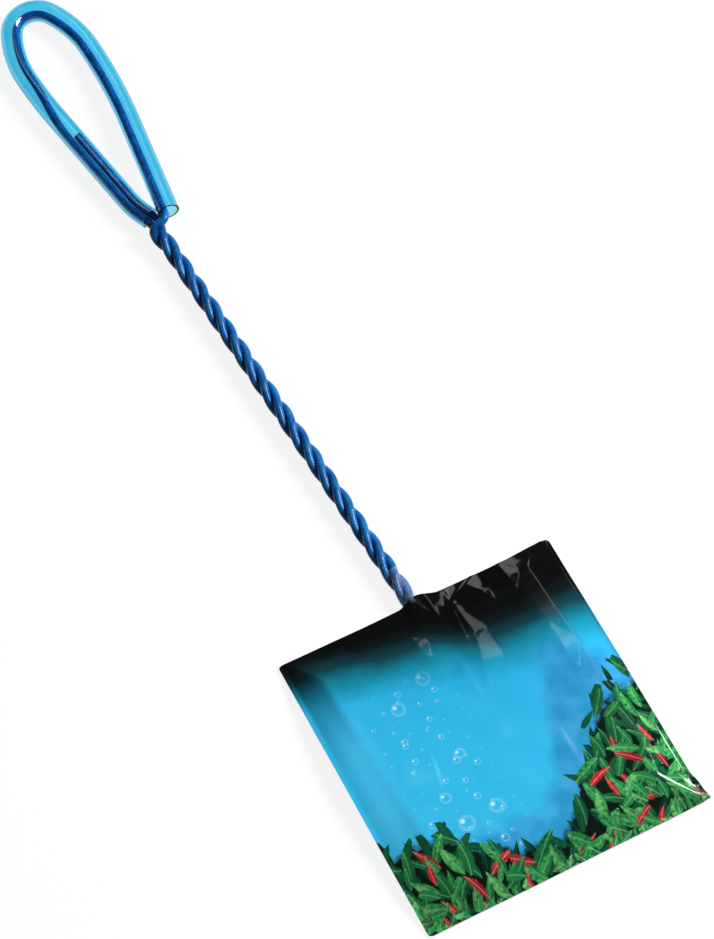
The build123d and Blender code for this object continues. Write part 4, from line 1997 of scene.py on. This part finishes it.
@dataclass(frozen=True)
class Studio:
    """Floor, soft lamps and the camera at the photograph's angle, in metres and degrees."""

    azimuth: float = -28.003
    elevation: float = 63.166
    distance: float = 2.0
    target: tuple[float, float, float] = (0.0063, 0.09773, 0.0)
    focal_pixels: float = 6519.2
    long_side: float = 939.0
    sensor: float = 36.0
    world_level: float = 0.07
    floor_size: float = 6.0
    floor_level: float = -0.0002
    floor_colour: Colour = (0.35, 0.35, 0.35, 1.0)
    floor_shade: Colour = (0.14, 0.14, 0.14, 1.0)
    floor_glow: float = 0.88
    lamps: tuple[Softbox, ...] = (
        Softbox("key_softbox", 86.0, 42.0, 1.5, 0.7, 0.7, 32.0),
        Softbox("film_strip", 133.0, 59.5, 1.5, 0.15, 0.32, 0.25),
        Softbox("crease_strip", 144.5, 41.5, 1.5, 0.24, 0.56, 0.73),
        Softbox("mouth_strip", 151.5, 26.5, 1.5, 0.28, 0.36, 0.55),
    )

    def _direction(self, azimuth: float, elevation: float) -> Vector:
        """The way from the part to an azimuth and elevation.

        Args:
            azimuth: Degrees round from the front.
            elevation: Degrees up from the floor.

        Returns:
            The way, one metre long.
        """
        turn = math.radians(azimuth)
        rise = math.radians(elevation)
        level = math.cos(rise)
        return Vector((math.sin(turn) * level, -math.cos(turn) * level, math.sin(rise)))

    def build(self) -> None:
        """Build the studio."""
        self._world()
        self._floor()
        for lamp in self.lamps:
            self._lamp(lamp)
        self._camera()
        bpy.context.scene.view_settings.view_transform = "Standard"

    def _world(self) -> None:
        """Light the scene faintly from all round, with a white sky for the camera."""
        world = bpy.data.worlds.new("studio")
        world.use_nodes = True
        bench = NodeBench(world.node_tree)
        seen = bench.node("ShaderNodeLightPath").outputs["Is Camera Ray"]
        level = bench.math("MAXIMUM", seen, self.world_level)
        background = world.node_tree.nodes["Background"]
        bench.fill(background, {"Color": WHITE, "Strength": level})
        bpy.context.scene.world = world

    def _floor(self) -> None:
        """Lay a pale floor that looks white and keeps the part's shadow."""
        deselect_all()
        bpy.ops.mesh.primitive_plane_add(size=self.floor_size, location=(0.0, 0.0, self.floor_level))
        floor = bpy.context.object
        floor.name = "floor"
        settle(floor)
        material, bench = empty_material("floor")
        plain = bench.node("ShaderNodeBsdfDiffuse", {"Color": self.floor_colour})
        shaded = bench.node("ShaderNodeBsdfDiffuse", {"Color": self.floor_shade})
        glow = bench.node("ShaderNodeEmission", {"Color": WHITE, "Strength": self.floor_glow})
        shown = bench.node("ShaderNodeAddShader", {0: shaded.outputs[0], 1: glow.outputs[0]})
        rays = bench.node("ShaderNodeLightPath").outputs
        seen = bench.math("MAXIMUM", rays["Is Camera Ray"], rays["Is Glossy Ray"])
        seen = bench.math("MAXIMUM", seen, rays["Is Transmission Ray"])
        mixed = bench.node("ShaderNodeMixShader", {0: seen, 1: plain.outputs[0], 2: shown.outputs[0]})
        bench.node("ShaderNodeOutputMaterial", {"Surface": mixed.outputs[0]})
        floor.data.materials.append(material)

    def _lamp(self, lamp: Softbox) -> None:
        """Hang one softbox.

        Args:
            lamp: Its place, size and strength.
        """
        deselect_all()
        aim = Vector(self.target)
        way = self._direction(lamp.azimuth, lamp.elevation)
        bpy.ops.object.light_add(type="AREA", location=aim + way * lamp.distance)
        softbox = bpy.context.object
        softbox.name = lamp.name
        softbox.rotation_euler = way.to_track_quat("Z", "Y").to_euler()
        softbox.data.shape = "RECTANGLE"
        softbox.data.size = lamp.width
        softbox.data.size_y = lamp.height
        softbox.data.energy = lamp.watts

    def _camera(self) -> None:
        """Set the camera up."""
        deselect_all()
        aim = Vector(self.target)
        way = self._direction(self.azimuth, self.elevation)
        bpy.ops.object.camera_add(location=aim + way * self.distance)
        camera = bpy.context.object
        camera.name = "camera"
        camera.rotation_euler = way.to_track_quat("Z", "Y").to_euler()
        camera.data.sensor_width = self.sensor
        camera.data.lens = self.focal_pixels / self.long_side * self.sensor
        bpy.context.scene.camera = camera


def main() -> None:
    """Build every sub-assembly in order."""
    logging.basicConfig(level=logging.INFO, format="%(name)s: %(message)s")
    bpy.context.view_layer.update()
    effects = SharedEffects()
    Studio().build()
    wire_coat = CoatedWireFinish().material(effects)
    wire_core = SteelFinish().material(effects)
    for wire in ("hoop", "stub_strand", "left_strand", "right_strand", "bow"):
        dress_node(f"{wire}_coat", wire_coat)
        dress_node(f"{wire}_core", wire_core)
    dress_node("grip_tube", VinylTubeFinish().material(effects))
    net = NetFrame()
    binding = WovenFinish(Slot.BINDING, paint(16, 48, 112), paint(44, 98, 176), 1400.0)
    mesh = WovenFinish(Slot.MESH, paint(40, 96, 176), paint(96, 158, 222), 2600.0, 0.6)
    thread = WovenFinish(Slot.THREAD, paint(26, 66, 140), paint(70, 126, 200), 3600.0, 0.75)
    NetHead(net, binding.material(effects), mesh.material(effects), thread.material(effects)).build()
    HandleBand(net, ClearFilmFinish().material(effects)).build()
    front = FrontFilmFinish(WaterPrint()).material(effects)
    FilmBag(net, front, BackFilmFinish().material(effects)).build()


if __name__ == "__main__":
    main()
